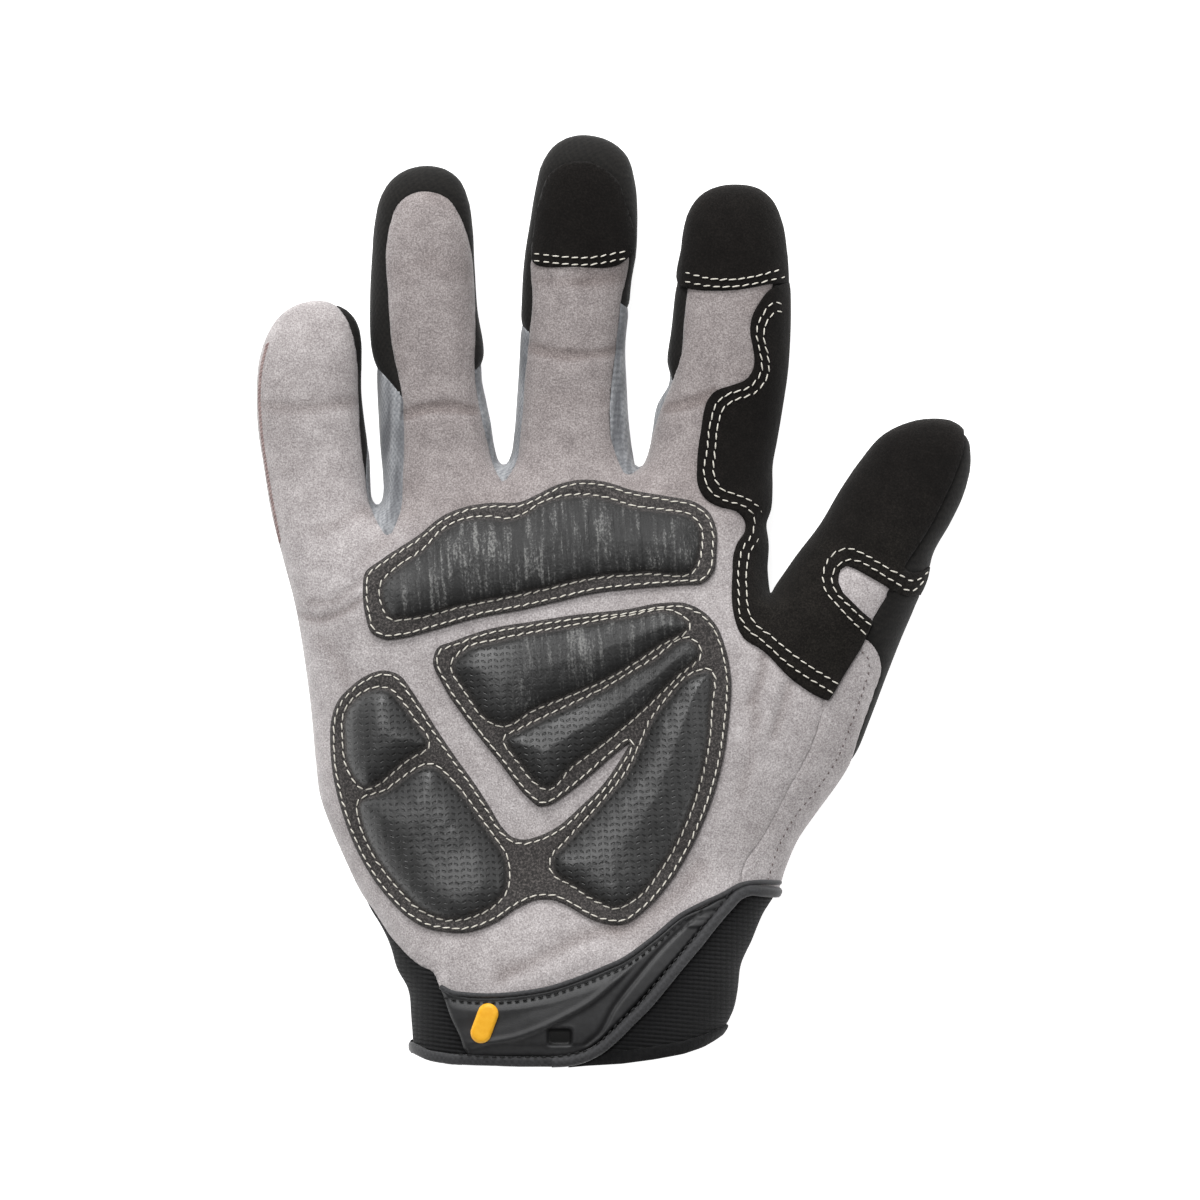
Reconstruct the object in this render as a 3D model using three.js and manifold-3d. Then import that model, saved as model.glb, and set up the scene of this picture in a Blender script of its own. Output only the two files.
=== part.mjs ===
// Impact glove for the right hand, lying on its back with the palm up.
// +X points to the thumb, +Y to the fingertips and +Z away from the palm, in millimetres.
import * as THREE from "three";
import { mergeVertices } from "three/addons/utils/BufferGeometryUtils.js";
import Module from "manifold-3d";

const wasm = await Module();
wasm.setup();

// Driving sizes of the glove.
const palmWidth = 125;
const palmLength = 100;
const palmThick = 36;
const cuffLength = 46;
const littleLength = 64.7;
const littleWidth = 27.2;
const ringLength = 93.8;
const ringWidth = 28.2;
const middleLength = 96.3;
const middleWidth = 28;
const indexLength = 89;
const indexWidth = 29.5;
const fingerThick = 21;
const thumbLength = 127.5;
const thumbWidth = 30;
const thumbThick = 23;
const tipRound = 12.2;

// Driving sizes of the materials and seams.
const wall = 1.6;
const gap = 0.3;
const seamHeight = 11.5;
const fourchetteLow = 5;
const patchThick = 1.1;
const padBorder = 5;
const padSheet = 1.8;
const padRise = 3.6;
const rubberThick = 2;
const ridgeRise = 0.7;
const slotDepth = 1;
const accentRise = 0.8;
const pipingWidth = 1;
const pipingThick = 1.5;
const bindingWidth = 2.6;
const bindingThick = 1.4;

// Fineness and form of the lofts and outlines: how square a section is, how far the palm's end and
// a tip stand out, and where in a pad's sheet its cells start.
const ringSides = 14;
const outlineStep = 6;
const squareness = 2.4;
const palmEndBulge = 0.2;
const tipNarrowing = 0.03;
const tipCentring = 0.6;
const sheetCore = 0.4;

// Palm sections from the finger roots to the wrist. up is a share of palmLength, left and right
// are shares of palmWidth, and front, back and lift are shares of palmThick.
const palmRows = [
  { up: 0.93, left: -0.5, right: 0.44, front: 0.24, back: 0.24, lift: 0.29 },
  { up: 0.87, left: -0.53, right: 0.455, front: 0.36, back: 0.36, lift: 0.35 },
  { up: 0.775, left: -0.51, right: 0.454, front: 0.44, back: 0.42, lift: 0.4 },
  { up: 0.625, left: -0.486, right: 0.456, front: 0.5, back: 0.45, lift: 0.43 },
  { up: 0.325, left: -0.45, right: 0.5, front: 0.53, back: 0.46, lift: 0.44 },
  { up: 0.175, left: -0.436, right: 0.5, front: 0.52, back: 0.47, lift: 0.45 },
  { up: 0.05, left: -0.396, right: 0.484, front: 0.51, back: 0.48, lift: 0.47 },
];

// Cuff sections from the wrist to past the hem. down is a share of cuffLength, the rest as above.
const cuffRows = [
  { down: 0.08, left: -0.364, right: 0.47, front: 0.5, back: 0.5, lift: 0.51 },
  { down: 0.27, left: -0.314, right: 0.43, front: 0.5, back: 0.5, lift: 0.54 },
  { down: 0.435, left: -0.294, right: 0.402, front: 0.51, back: 0.51, lift: 0.56 },
  { down: 0.87, left: -0.256, right: 0.37, front: 0.55, back: 0.53, lift: 0.6 },
  { down: 1.12, left: -0.256, right: 0.36, front: 0.56, back: 0.53, lift: 0.61 },
];

// Digit sections from the root to where the round tip starts. at is a share of the digit's length,
// side and wide are shares of its width, and thick and lift are shares of its thickness.
const littleRows = [
  { at: 0, side: 0.05, wide: 1.01, thick: 1.05, lift: 0.5 },
  { at: 0.25, side: -0.057, wide: 0.954, thick: 1, lift: 0.47 },
  { at: 0.484, side: -0.076, wide: 1, thick: 1, lift: 0.47 },
  { at: 0.717, side: -0.059, wide: 0.954, thick: 0.96, lift: 0.46 },
];
const ringRows = [
  { at: 0, side: 0.03, wide: 1.2, thick: 1.12, lift: 0.5 },
  { at: 0.16, side: 0.058, wide: 1.1, thick: 1.08, lift: 0.49 },
  { at: 0.24, side: 0.016, wide: 1.06, thick: 1.05, lift: 0.49 },
  { at: 0.4, side: -0.036, wide: 0.965, thick: 1, lift: 0.47 },
  { at: 0.52, side: -0.046, wide: 1, thick: 1.02, lift: 0.47 },
  { at: 0.8, side: -0.037, wide: 0.9, thick: 0.95, lift: 0.46 },
];
const middleRows = [
  { at: 0, side: -0.02, wide: 1.28, thick: 1.12, lift: 0.5 },
  { at: 0.104, side: -0.03, wide: 1.205, thick: 1.1, lift: 0.49 },
  { at: 0.22, side: -0.03, wide: 1.045, thick: 1.05, lift: 0.48 },
  { at: 0.338, side: -0.048, wide: 0.98, thick: 1, lift: 0.47 },
  { at: 0.455, side: -0.053, wide: 0.946, thick: 1, lift: 0.47 },
  { at: 0.69, side: -0.012, wide: 0.99, thick: 1, lift: 0.47 },
  { at: 0.805, side: 0.005, wide: 0.93, thick: 0.95, lift: 0.46 },
];
const indexRows = [
  { at: 0, side: -0.05, wide: 1.19, thick: 1.12, lift: 0.5 },
  { at: 0.18, side: -0.06, wide: 1.144, thick: 1.08, lift: 0.49 },
  { at: 0.38, side: 0.019, wide: 1.05, thick: 1.02, lift: 0.48 },
  { at: 0.465, side: 0.073, wide: 0.983, thick: 1, lift: 0.47 },
  { at: 0.549, side: 0.055, wide: 1.008, thick: 1.02, lift: 0.47 },
  { at: 0.803, side: 0.031, wide: 0.907, thick: 0.95, lift: 0.46 },
];
const thumbRows = [
  { at: 0, side: 0, wide: 1.05, thick: 1.1, lift: 0.75 },
  { at: 0.157, side: 0, wide: 1.13, thick: 1.12, lift: 0.7 },
  { at: 0.368, side: 0.03, wide: 1.25, thick: 1.12, lift: 0.65 },
  { at: 0.494, side: 0, wide: 1.16, thick: 1.08, lift: 0.63 },
  { at: 0.747, side: -0.03, wide: 0.975, thick: 1, lift: 0.57 },
  { at: 0.848, side: -0.017, wide: 0.93, thick: 0.96, lift: 0.53 },
];

// Digits by root place in shares of palmWidth and palmLength, lean in degrees towards the thumb,
// and the digit's own sizes and sections.
const digits = [
  { root: [-0.42, 0.8], lean: -4.2, length: littleLength, width: littleWidth,
    thick: fingerThick, rows: littleRows },
  { root: [-0.2, 0.85], lean: -2.4, length: ringLength, width: ringWidth,
    thick: fingerThick, rows: ringRows },
  { root: [0.064, 0.9], lean: 1.9, length: middleLength, width: middleWidth,
    thick: fingerThick, rows: middleRows },
  { root: [0.332, 0.85], lean: 5, length: indexLength, width: indexWidth,
    thick: fingerThick, rows: indexRows },
  { root: [0.328, 0.025], lean: 28.2, length: thumbLength, width: thumbWidth,
    thick: thumbThick, rows: thumbRows },
];

// A closed triangle mesh becomes a solid, once its shared corners are merged.
function solidOf(geometry) {
  geometry.deleteAttribute("normal");
  geometry.deleteAttribute("uv");
  const merged = mergeVertices(geometry, 1e-4);
  const vertProperties = new Float32Array(merged.attributes.position.array);
  const triVerts = new Uint32Array(merged.index.array);
  return new wasm.Manifold(new wasm.Mesh({ numProp: 3, vertProperties, triVerts }));
}

function geometryOf(solid) {
  const mesh = solid.getMesh();
  const geometry = new THREE.BufferGeometry();
  geometry.setAttribute("position", new THREE.BufferAttribute(mesh.vertProperties.slice(), 3));
  geometry.setIndex(new THREE.BufferAttribute(mesh.triVerts.slice(), 1));
  return geometry;
}

// A superellipse section in an upright plane. Its points start at the across direction and turn
// towards +Z.
function sectionPoints({ centre, across, halfWide, front, back }) {
  const points = [];
  for (let side = 0; side < ringSides; side += 1) {
    const angle = (2 * Math.PI * (side + 0.5)) / ringSides;
    const wide = Math.sign(Math.cos(angle)) * Math.abs(Math.cos(angle)) ** (2 / squareness);
    const high = Math.sign(Math.sin(angle)) * Math.abs(Math.sin(angle)) ** (2 / squareness);
    const height = high > 0 ? front : back;
    const point = centre.clone().addScaledVector(across, wide * halfWide);
    point.z += high * height;
    points.push(point);
  }
  return points;
}

// A closed loft through sections, with a fan of triangles on each end.
function loft(sections) {
  const rings = sections.map(sectionPoints);
  const corners = rings.flat();
  const faces = [];
  for (let row = 0; row + 1 < rings.length; row += 1) {
    for (let side = 0; side < ringSides; side += 1) {
      const next = (side + 1) % ringSides;
      const a = row * ringSides + side;
      const b = row * ringSides + next;
      faces.push(a, a + ringSides, b, b, a + ringSides, b + ringSides);
    }
  }
  const first = corners.push(sections[0].centre) - 1;
  const last = corners.push(sections[sections.length - 1].pole) - 1;
  const lastRing = (rings.length - 1) * ringSides;
  for (let side = 0; side < ringSides; side += 1) {
    const next = (side + 1) % ringSides;
    faces.push(first, side, next, last, lastRing + next, lastRing + side);
  }
  const geometry = new THREE.BufferGeometry().setFromPoints(corners);
  geometry.setIndex(faces);
  return solidOf(geometry);
}

// The palm and cuff as one tube, its walls moved out by grow.
function palmTube(grow) {
  const across = new THREE.Vector3(1, 0, 0);
  const heights = [
    ...cuffRows.map((row) => -row.down * cuffLength).reverse(),
    ...palmRows.map((row) => row.up * palmLength).reverse(),
  ];
  const rows = [...[...cuffRows].reverse(), ...[...palmRows].reverse()];
  const sections = rows.map((row, place) => ({
    centre: new THREE.Vector3(
      ((row.left + row.right) / 2) * palmWidth, heights[place], row.lift * palmThick),
    across,
    halfWide: ((row.right - row.left) / 2) * palmWidth + grow,
    front: row.front * palmThick + grow,
    back: row.back * palmThick + grow,
  }));
  const end = sections[sections.length - 1];
  end.pole = end.centre.clone();
  end.centre.y += grow;
  end.pole.y += tipRound * palmEndBulge + grow;
  return loft(sections);
}

// A point of a digit, by its distance along the digit, to the side and up.
function digitPoint(digit, along, side, up) {
  const lean = THREE.MathUtils.degToRad(digit.lean);
  return new THREE.Vector3(
    digit.root[0] * palmWidth + along * Math.sin(lean) + side * Math.cos(lean),
    digit.root[1] * palmLength + along * Math.cos(lean) - side * Math.sin(lean),
    up);
}

// A digit as a tube with a round tip. The tip's sections follow a quarter ellipse.
function digitTube(digit, grow) {
  const lean = THREE.MathUtils.degToRad(digit.lean);
  const across = new THREE.Vector3(Math.cos(lean), -Math.sin(lean), 0);
  const last = digit.rows[digit.rows.length - 1];
  const roundStart = digit.length - tipRound;
  const tipSide = last.side * digit.width * tipCentring;
  const sections = digit.rows.map((row) => ({
    centre: digitPoint(
      digit, row.at * digit.length, row.side * digit.width, row.lift * digit.thick),
    across,
    halfWide: (row.wide * digit.width) / 2 + grow,
    front: (row.thick * digit.thick) / 2 + grow,
    back: (row.thick * digit.thick) / 2 + grow,
  }));
  for (const degrees of [0, 38, 66]) {
    const turn = THREE.MathUtils.degToRad(degrees);
    const along = roundStart + Math.sin(turn) * (tipRound + grow);
    const shrink = Math.cos(turn);
    const tipWide = last.wide - tipNarrowing;
    sections.push({
      centre: digitPoint(digit, along, tipSide, last.lift * digit.thick),
      across,
      halfWide: shrink * ((tipWide * digit.width) / 2 + grow),
      front: shrink * ((last.thick * digit.thick) / 2 + grow),
      back: shrink * ((last.thick * digit.thick) / 2 + grow),
    });
  }
  const end = sections[sections.length - 1];
  end.pole = digitPoint(
    digit, digit.length + grow, tipSide, last.lift * digit.thick);
  return loft(sections);
}

// A block from one height to another over the whole glove and more.
const roomWide = 4 * palmWidth;
const roomLong = 4 * (palmLength + middleLength + cuffLength);
const roomHigh = 4 * palmThick;
function slab(low, high) {
  const block = new THREE.BoxGeometry(roomWide, roomLong, high - low);
  block.translate(0, 0, (low + high) / 2);
  return solidOf(block);
}

// The whole filled glove with its walls moved out by grow, flat where it lies on the floor.
function body(grow) {
  const tubes = digits.map((digit) => digitTube(digit, grow));
  const whole = tubes.reduce((sum, tube) => sum.add(tube), palmTube(grow));
  return whole.intersect(slab(Math.max(0, -grow), roomHigh));
}

// A point on the palm, in shares of palmWidth and palmLength from the middle of the wrist.
function onPalm([across, up]) {
  return new THREE.Vector2(across * palmWidth, up * palmLength);
}

// A smooth closed outline through a few points.
function smooth(points) {
  const curve = new THREE.CatmullRomCurve3(
    points.map((point) => new THREE.Vector3(point.x, point.y, 0)), true, "centripetal");
  const count = Math.round(curve.getLength() / outlineStep);
  return curve.getSpacedPoints(count).slice(0, count).map((point) => new THREE.Vector2(point.x, point.y));
}

// An outline moved out by distance along the bisector of each corner.
function grown(points, distance) {
  const turned = THREE.ShapeUtils.isClockWise(points) ? [...points].reverse() : points;
  return turned.map((point, place) => {
    const before = turned[(place + turned.length - 1) % turned.length];
    const after = turned[(place + 1) % turned.length];
    const arrive = point.clone().sub(before).normalize();
    const leave = after.clone().sub(point).normalize();
    const bisector = arrive.clone().add(leave).normalize();
    const outward = new THREE.Vector2(bisector.y, -bisector.x);
    const stretch = Math.min(1 / Math.abs(outward.dot(new THREE.Vector2(leave.y, -leave.x))), 2);
    return point.clone().addScaledVector(outward, distance * stretch);
  });
}

// An upright prism over an outline.
function prism(points, low, high = roomHigh) {
  const shape = new THREE.Shape(points);
  const geometry = new THREE.ExtrudeGeometry(shape, { depth: high - low, bevelEnabled: false });
  geometry.translate(0, 0, low);
  return solidOf(geometry);
}

// An open line moved to its right by distance.
function shifted(line, distance) {
  return line.map((point, place) => {
    const before = line[Math.max(place - 1, 0)];
    const after = line[Math.min(place + 1, line.length - 1)];
    const along = after.clone().sub(before).normalize();
    return point.clone().add(new THREE.Vector2(along.y, -along.x).multiplyScalar(distance));
  });
}

// A band of the given width along an open line, as an outline.
function band(line, width) {
  return [...shifted(line, -width / 2), ...shifted(line, width / 2).reverse()];
}

// The glove's body moved out by grow, kept once made.
const skins = new Map();
function skin(grow) {
  if (!skins.has(grow)) skins.set(grow, body(grow));
  return skins.get(grow);
}

// The pads lie above this height, where the palm still faces up.
const padFloor = palmThick / 2;

// A layer lying on the front of the glove, from one height above it to another.
function layer(low, high, outline) {
  return skin(high).subtract(skin(low)).intersect(prism(outline, seamHeight));
}

// A point on the cuff, in shares of palmWidth and cuffLength from the middle of the wrist.
function onCuff([across, down]) {
  return new THREE.Vector2(across * palmWidth, -down * cuffLength);
}

// Far corners that close a region lying on one side of a line.
const farLeft = -roomWide / 4;
const farRight = roomWide / 4;
const farUp = roomLong / 4;
const farDown = -roomLong / 4;
function corner(x, y) {
  return new THREE.Vector2(x, y);
}

// Seam lines that neighbouring pieces share.
const cuffArc = [
  [-0.192, 0.58], [-0.148, 0.603], [-0.044, 0.598], [0.078, 0.516], [0.16, 0.424],
  [0.224, 0.304], [0.284, 0.174], [0.33, 0.13],
].map(onCuff);
const cuffCorner = [[0.41, 0.024], [0.6, 0.02]].map(onCuff);
const ribEdge = [[-0.6, 0.02], [-0.4, 0.03], [-0.358, 0.098], [-0.294, 0.32], [-0.238, 0.45]].map(onCuff);
const ribSide = [[-0.192, 0.58], [-0.178, 0.68], [-0.148, 0.913], [-0.14, 1.4]].map(onCuff);
const thumbSeam = [
  [0.656, 0.64], [0.572, 0.448], [0.55, 0.363], [0.494, 0.223], [0.454, 0.125],
].map(onPalm);
const diagonal = [
  [0.5, 0.022], [0.42, 0.026], [0.404, 0.05], [0.33, 0.24], [0.238, 0.52], [0.148, 0.79], [0.04, 1.08],
].map(onCuff);
const hemLine = [
  [-0.4, 0.89], [-0.254, 0.935], [-0.174, 0.99], [-0.044, 1], [0.092, 0.99], [0.224, 0.957],
  [0.324, 0.897], [0.42, 0.76],
].map(onCuff);

// Outlines of the sewn panels, in shares of the palm.
const ringFrontLeft = [[-0.284, 0.898], [-0.276, 1.01], [-0.274, 1.143], [-0.28, 1.213]].map(onPalm);
const ringFrontRight = [[-0.128, 1.243], [-0.118, 1.195], [-0.11, 1.108], [-0.096, 1.025]].map(onPalm);
const middleFrontLeft = [[-0.052, 1.063], [-0.03, 1.238], [-0.024, 1.365]].map(onPalm);
const middleFrontRight = [[0.16, 1.37], [0.146, 1.185], [0.146, 1.098], [0.158, 1.053]].map(onPalm);
const indexFrontLeft = [[0.2, 1.005], [0.224, 1.1], [0.248, 1.188], [0.264, 1.245]].map(onPalm);
const littleEdge = [[-0.43, 1.475], [-0.39, 1.405], [-0.374, 1.338], [-0.368, 1.2], [-0.356, 0.975]].map(onPalm);
const ringTip = [
  [-0.294, 1.323], [-0.304, 1.468], [-0.31, 1.585], [-0.302, 1.635], [-0.286, 1.685], [-0.258, 1.715],
  [-0.22, 1.72], [-0.188, 1.705], [-0.164, 1.67], [-0.148, 1.625], [-0.136, 1.573], [-0.13, 1.493],
].map(onPalm);
const middleTip = [
  [-0.02, 1.44], [-0.008, 1.573], [0.002, 1.705], [0.02, 1.763], [0.052, 1.79], [0.09, 1.795],
  [0.126, 1.778], [0.156, 1.743], [0.168, 1.695], [0.17, 1.575], [0.164, 1.44],
].map(onPalm);
const indexTip = [
  [0.276, 1.375], [0.288, 1.483], [0.3, 1.6], [0.32, 1.683], [0.352, 1.72], [0.41, 1.725], [0.45, 1.688],
].map(onPalm);
const thumbFront = [[0.87, 1.2], [0.846, 1.123], [0.798, 0.935], [0.724, 0.783]].map(onPalm);
const littleRingWeb = [[-0.304, 0.858]].map(onPalm);
const ringMiddleWeb = [[-0.08, 0.955], [-0.066, 0.955]].map(onPalm);
const middleIndexWeb = [[0.175, 0.955], [0.21, 0.955]].map(onPalm);
const openSpace = [[0.52, 1.663], [0.52, 1.2]].map(onPalm);

const palmOutline = [
  corner(farLeft, 0), corner(farLeft, 1.5 * palmLength), ...littleEdge, ...littleRingWeb,
  ...ringFrontLeft, ...ringTip, ...ringFrontRight, ...ringMiddleWeb,
  ...middleFrontLeft, ...middleTip, ...middleFrontRight, ...middleIndexWeb,
  ...indexFrontLeft, ...indexTip, ...openSpace, ...thumbFront, ...thumbSeam,
  cuffCorner[0], ...[...cuffArc].reverse(), ...[...ribEdge].reverse(),
];
const fourchetteOutlines = {
  fourchette_little_ring: [
    ...ringFrontLeft, ...[[-0.326, 1.27], [-0.352, 1.27], [-0.352, 0.975], [-0.328, 0.9]].map(onPalm),
    ...littleRingWeb,
  ],
  fourchette_ring_middle: [
    ...ringFrontRight, ...ringMiddleWeb, ...middleFrontLeft,
    ...[[-0.06, 1.365], [-0.07, 1.243]].map(onPalm),
  ],
  fourchette_middle_index: [
    ...middleFrontRight, ...middleIndexWeb, ...indexFrontLeft,
    ...[[0.215, 1.245], [0.2, 1.37]].map(onPalm),
  ],
};
const stripOutline = [
  ...thumbSeam, cuffCorner[0],
  ...[[0.6, 0.01], [0.6, 0.2], [0.62, 0.29], [0.642, 0.378], [0.668, 0.47], [0.682, 0.533], [0.678, 0.563]].map(onPalm),
];
const ribLeftOutline = [
  ...ribEdge, ...ribSide, corner(farLeft, farDown),
];
const ribRightOutline = [
  ...[...ribSide].reverse(), ...cuffArc.slice(1), ...cuffCorner, corner(farRight, farDown),
];

// The sewn shell: a hollow skin, open at the hem, split along its seams.
const belowHem = prism([...hemLine, corner(farRight, farDown), corner(farLeft, farDown)], -roomHigh);
const shell = skin(0).subtract(body(-wall)).subtract(belowHem);

// Each panel is cut from the shell by its outline, and leaves a gap round it in what is cut later.
const panels = {};
let rest = shell;
function cutPanel(name, outline, low) {
  panels[name] = rest.intersect(prism(outline, low));
  rest = rest.subtract(prism(grown(outline, gap), low - gap));
}
for (const [name, outline] of Object.entries(fourchetteOutlines)) {
  cutPanel(name, outline, fourchetteLow);
}
cutPanel("thumb_side_strip", stripOutline, seamHeight);
cutPanel("cuff_rib_left", ribLeftOutline, seamHeight);
cutPanel("cuff_rib_right", ribRightOutline, seamHeight);
cutPanel("palm_panel", palmOutline, seamHeight);
panels.back_panel = rest;

// Suede patches sewn on the front.
const patchTop = gap + patchThick;
const middleTipOutline = [
  [0.002, 1.705], [0.02, 1.763], [0.052, 1.79], [0.09, 1.795], [0.126, 1.778], [0.156, 1.743],
  [0.168, 1.695], [0.17, 1.548], [0.07, 1.535], [-0.008, 1.543],
].map(onPalm);
const indexTipOutline = [
  [0.292, 1.475], [0.396, 1.473], [0.492, 1.49], [0.488, 1.6], [0.468, 1.675], [0.42, 1.715],
  [0.36, 1.71], [0.32, 1.663], [0.3, 1.588],
].map(onPalm);
const saddleOutline = [
  [0.54, 1.475], [0.5, 1.475], [0.46, 1.452], [0.422, 1.385], [0.426, 1.295], [0.348, 1.22],
  [0.322, 1.123], [0.316, 1.013], [0.336, 0.95], [0.41, 0.898], [0.386, 0.818], [0.386, 0.665],
  [0.408, 0.603], [0.504, 0.5], [0.564, 0.453], [0.648, 0.645], [0.716, 0.785], [0.79, 0.938],
  [0.836, 1.12], [0.85, 1.205], [0.66, 1.205], [0.54, 1.1],
].map(onPalm);
const windowOutline = [[0.612, 0.785], [0.74, 0.715], [0.69, 0.62], [0.606, 0.715]].map(onPalm);
panels.middle_tip_patch = layer(gap, patchTop, middleTipOutline);
panels.index_tip_patch = layer(gap, patchTop, indexTipOutline);
panels.saddle_patch = layer(gap, patchTop, saddleOutline).subtract(prism(windowOutline, seamHeight));

// The height of the glove's front at a place, found by a ray from above.
const frontMesh = new THREE.Mesh(geometryOf(skin(0)), new THREE.MeshBasicMaterial());
const ray = new THREE.Raycaster();
function frontHeight(point) {
  ray.set(new THREE.Vector3(point.x, point.y, roomHigh), new THREE.Vector3(0, 0, -1));
  return ray.intersectObject(frontMesh)[0].point.z;
}

// A stuffed cell: rings drawn in towards the middle of its outline while they rise, with the same
// rings under them inside the pad's sheet. out is a share of the way to the outline, rise a share
// of padRise.
const cellRings = [
  { out: 1, rise: 0 },
  { out: 0.93, rise: 0.5 },
  { out: 0.78, rise: 0.88 },
  { out: 0.45, rise: 1 },
];
function stuffedCell(points) {
  const middlePoint = points.reduce((sum, point) => sum.add(point), corner(0, 0));
  middlePoint.divideScalar(points.length);
  const count = points.length;
  const corners = [];
  const sheetLow = gap + sheetCore * (padSheet - gap);
  const addRing = (out, rise) => {
    for (const point of points) {
      const place = middlePoint.clone().lerp(point, out);
      corners.push(new THREE.Vector3(place.x, place.y, frontHeight(place) + rise));
    }
  };
  for (const row of [...cellRings].reverse()) addRing(row.out, sheetLow);
  for (const row of cellRings) addRing(row.out, padSheet + row.rise * padRise);
  const faces = [];
  for (let row = 0; row + 1 < 2 * cellRings.length; row += 1) {
    for (let side = 0; side < count; side += 1) {
      const next = (side + 1) % count;
      const a = row * count + side;
      const b = row * count + next;
      faces.push(a, b, a + count, b, b + count, a + count);
    }
  }
  const floorHeight = frontHeight(middlePoint);
  const low = corners.push(new THREE.Vector3(middlePoint.x, middlePoint.y, floorHeight + sheetLow)) - 1;
  const high = corners.push(
    new THREE.Vector3(middlePoint.x, middlePoint.y, floorHeight + padSheet + padRise)) - 1;
  const lastRing = (2 * cellRings.length - 1) * count;
  for (let side = 0; side < count; side += 1) {
    const next = (side + 1) % count;
    faces.push(low, next, side, high, lastRing + side, lastRing + next);
  }
  const geometry = new THREE.BufferGeometry().setFromPoints(corners);
  geometry.setIndex(faces);
  return solidOf(geometry);
}

// A pad: stuffed cells on one sheet that reaches padBorder past each of them.
function pad(cells) {
  const outlines = cells.map((cell) => {
    const points = smooth(cell.map(onPalm));
    return THREE.ShapeUtils.isClockWise(points) ? points.reverse() : points;
  });
  const sheets = outlines.map((points) => prism(grown(points, padBorder), padFloor));
  const cover = sheets.reduce((sum, sheet) => sum.add(sheet));
  const sheet = skin(padSheet).intersect(cover);
  const whole = outlines.reduce((sum, points) => sum.add(stuffedCell(points)), sheet);
  return whole.subtract(skin(gap));
}

const knuckleCells = [
  [
    [-0.312, 0.725], [-0.284, 0.77], [-0.196, 0.868], [-0.106, 0.9], [-0.038, 0.903], [0.014, 0.943],
    [0.082, 0.958], [0.182, 0.93], [0.3, 0.908], [0.318, 0.828], [0.304, 0.78], [0.102, 0.763],
    [-0.002, 0.73], [-0.158, 0.69], [-0.294, 0.655],
  ],
];
const palmCells = [
  [
    [-0.172, 0.545], [-0.148, 0.562], [-0.01, 0.6], [0.174, 0.633], [0.29, 0.64], [0.128, 0.503],
    [-0.01, 0.428], [-0.088, 0.388], [-0.158, 0.503],
  ],
  [
    [-0.068, 0.355], [0.128, 0.475], [0.31, 0.598], [0.33, 0.578], [0.22, 0.445], [0.128, 0.348],
    [0.008, 0.228], [-0.016, 0.25],
  ],
  [
    [0.336, 0.52], [0.338, 0.428], [0.31, 0.233], [0.238, 0.033], [0.146, -0.065], [0.058, -0.003],
    [0.008, 0.05], [0.128, 0.2], [0.2, 0.338], [0.256, 0.458], [0.302, 0.515],
  ],
  [
    [-0.39, 0.358], [-0.38, 0.438], [-0.322, 0.483], [-0.278, 0.455], [-0.218, 0.33], [-0.362, 0.228],
  ],
  [
    [-0.36, 0.193], [-0.204, 0.288], [-0.114, 0.15], [-0.06, 0.02], [-0.084, -0.053], [-0.182, -0.095],
    [-0.284, -0.013], [-0.358, 0.145],
  ],
];
panels.knuckle_pad = pad(knuckleCells);
panels.palm_pad = pad(palmCells);

// Trims of the cuff.
const hemTop = shifted(hemLine, -bindingWidth);
const aboveHemTrim = prism(
  [...shifted(hemLine, -bindingWidth - gap), corner(farRight, farUp), corner(farLeft, farUp)], -roomHigh);
panels.palm_piping = layer(gap, gap + pipingThick, band(cuffArc, pipingWidth));
panels.diagonal_binding = layer(gap, gap + bindingThick + rubberThick, band(diagonal, bindingWidth))
  .intersect(aboveHemTrim);
panels.hem_binding = skin(gap + bindingThick)
  .subtract(skin(gap))
  .intersect(prism([...hemTop, ...[...hemLine].reverse()], -roomHigh));

// The moulded rubber panel between the arc, the diagonal and the hem.
const rubberTop = gap + rubberThick;
const underArc = [
  ...shifted(cuffArc, pipingWidth / 2 + gap), corner(farRight, farDown), corner(farLeft, farDown)];
const besideDiagonal = [
  ...shifted(diagonal, bindingWidth / 2 + gap), corner(farLeft, farDown), corner(farLeft, farUp)];
const besideRib = [...shifted(ribSide, -gap), corner(farRight, farDown), corner(farRight, farUp)];
const rubberRegion = [underArc, besideDiagonal, besideRib]
  .map((outline) => prism(outline, seamHeight))
  .reduce((sum, region) => sum.intersect(region))
  .intersect(aboveHemTrim);
const ridgeLine = [[-0.09, 0.84], [-0.014, 0.8], [0.048, 0.735], [0.108, 0.64], [0.15, 0.56]].map(onCuff);
const ridgeWidth = 1.6;
const slotOutline = [[0.01, 0.79], [0.068, 0.777], [0.062, 0.886], [0.016, 0.886]].map(onCuff);
const slotSpace = prism(slotOutline, seamHeight).subtract(skin(rubberTop - slotDepth));
panels.cuff_rubber_panel = skin(rubberTop)
  .add(skin(rubberTop + ridgeRise).intersect(prism(band(ridgeLine, ridgeWidth), seamHeight)))
  .intersect(rubberRegion)
  .subtract(skin(gap))
  .subtract(slotSpace);

// A plain raised pill in the corner of the rubber panel.
const accentLength = 8.6;
const accentWidth = 4.4;
const accentLean = 12;
const accentCentre = onCuff([-0.108, 0.76]);
function pillOutline(centre, length, width, lean) {
  const pill = new THREE.Shape();
  const reach = (length - width) / 2;
  pill.absarc(0, reach, width / 2, 0, Math.PI);
  pill.absarc(0, -reach, width / 2, Math.PI, 2 * Math.PI);
  const turn = -THREE.MathUtils.degToRad(lean);
  return pill.getPoints(5).slice(0, -1).map((point) => point.rotateAround(corner(0, 0), turn).add(centre));
}
panels.cuff_accent = layer(
  rubberTop + gap, rubberTop + gap + accentRise,
  pillOutline(accentCentre, accentLength, accentWidth, accentLean));

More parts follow.
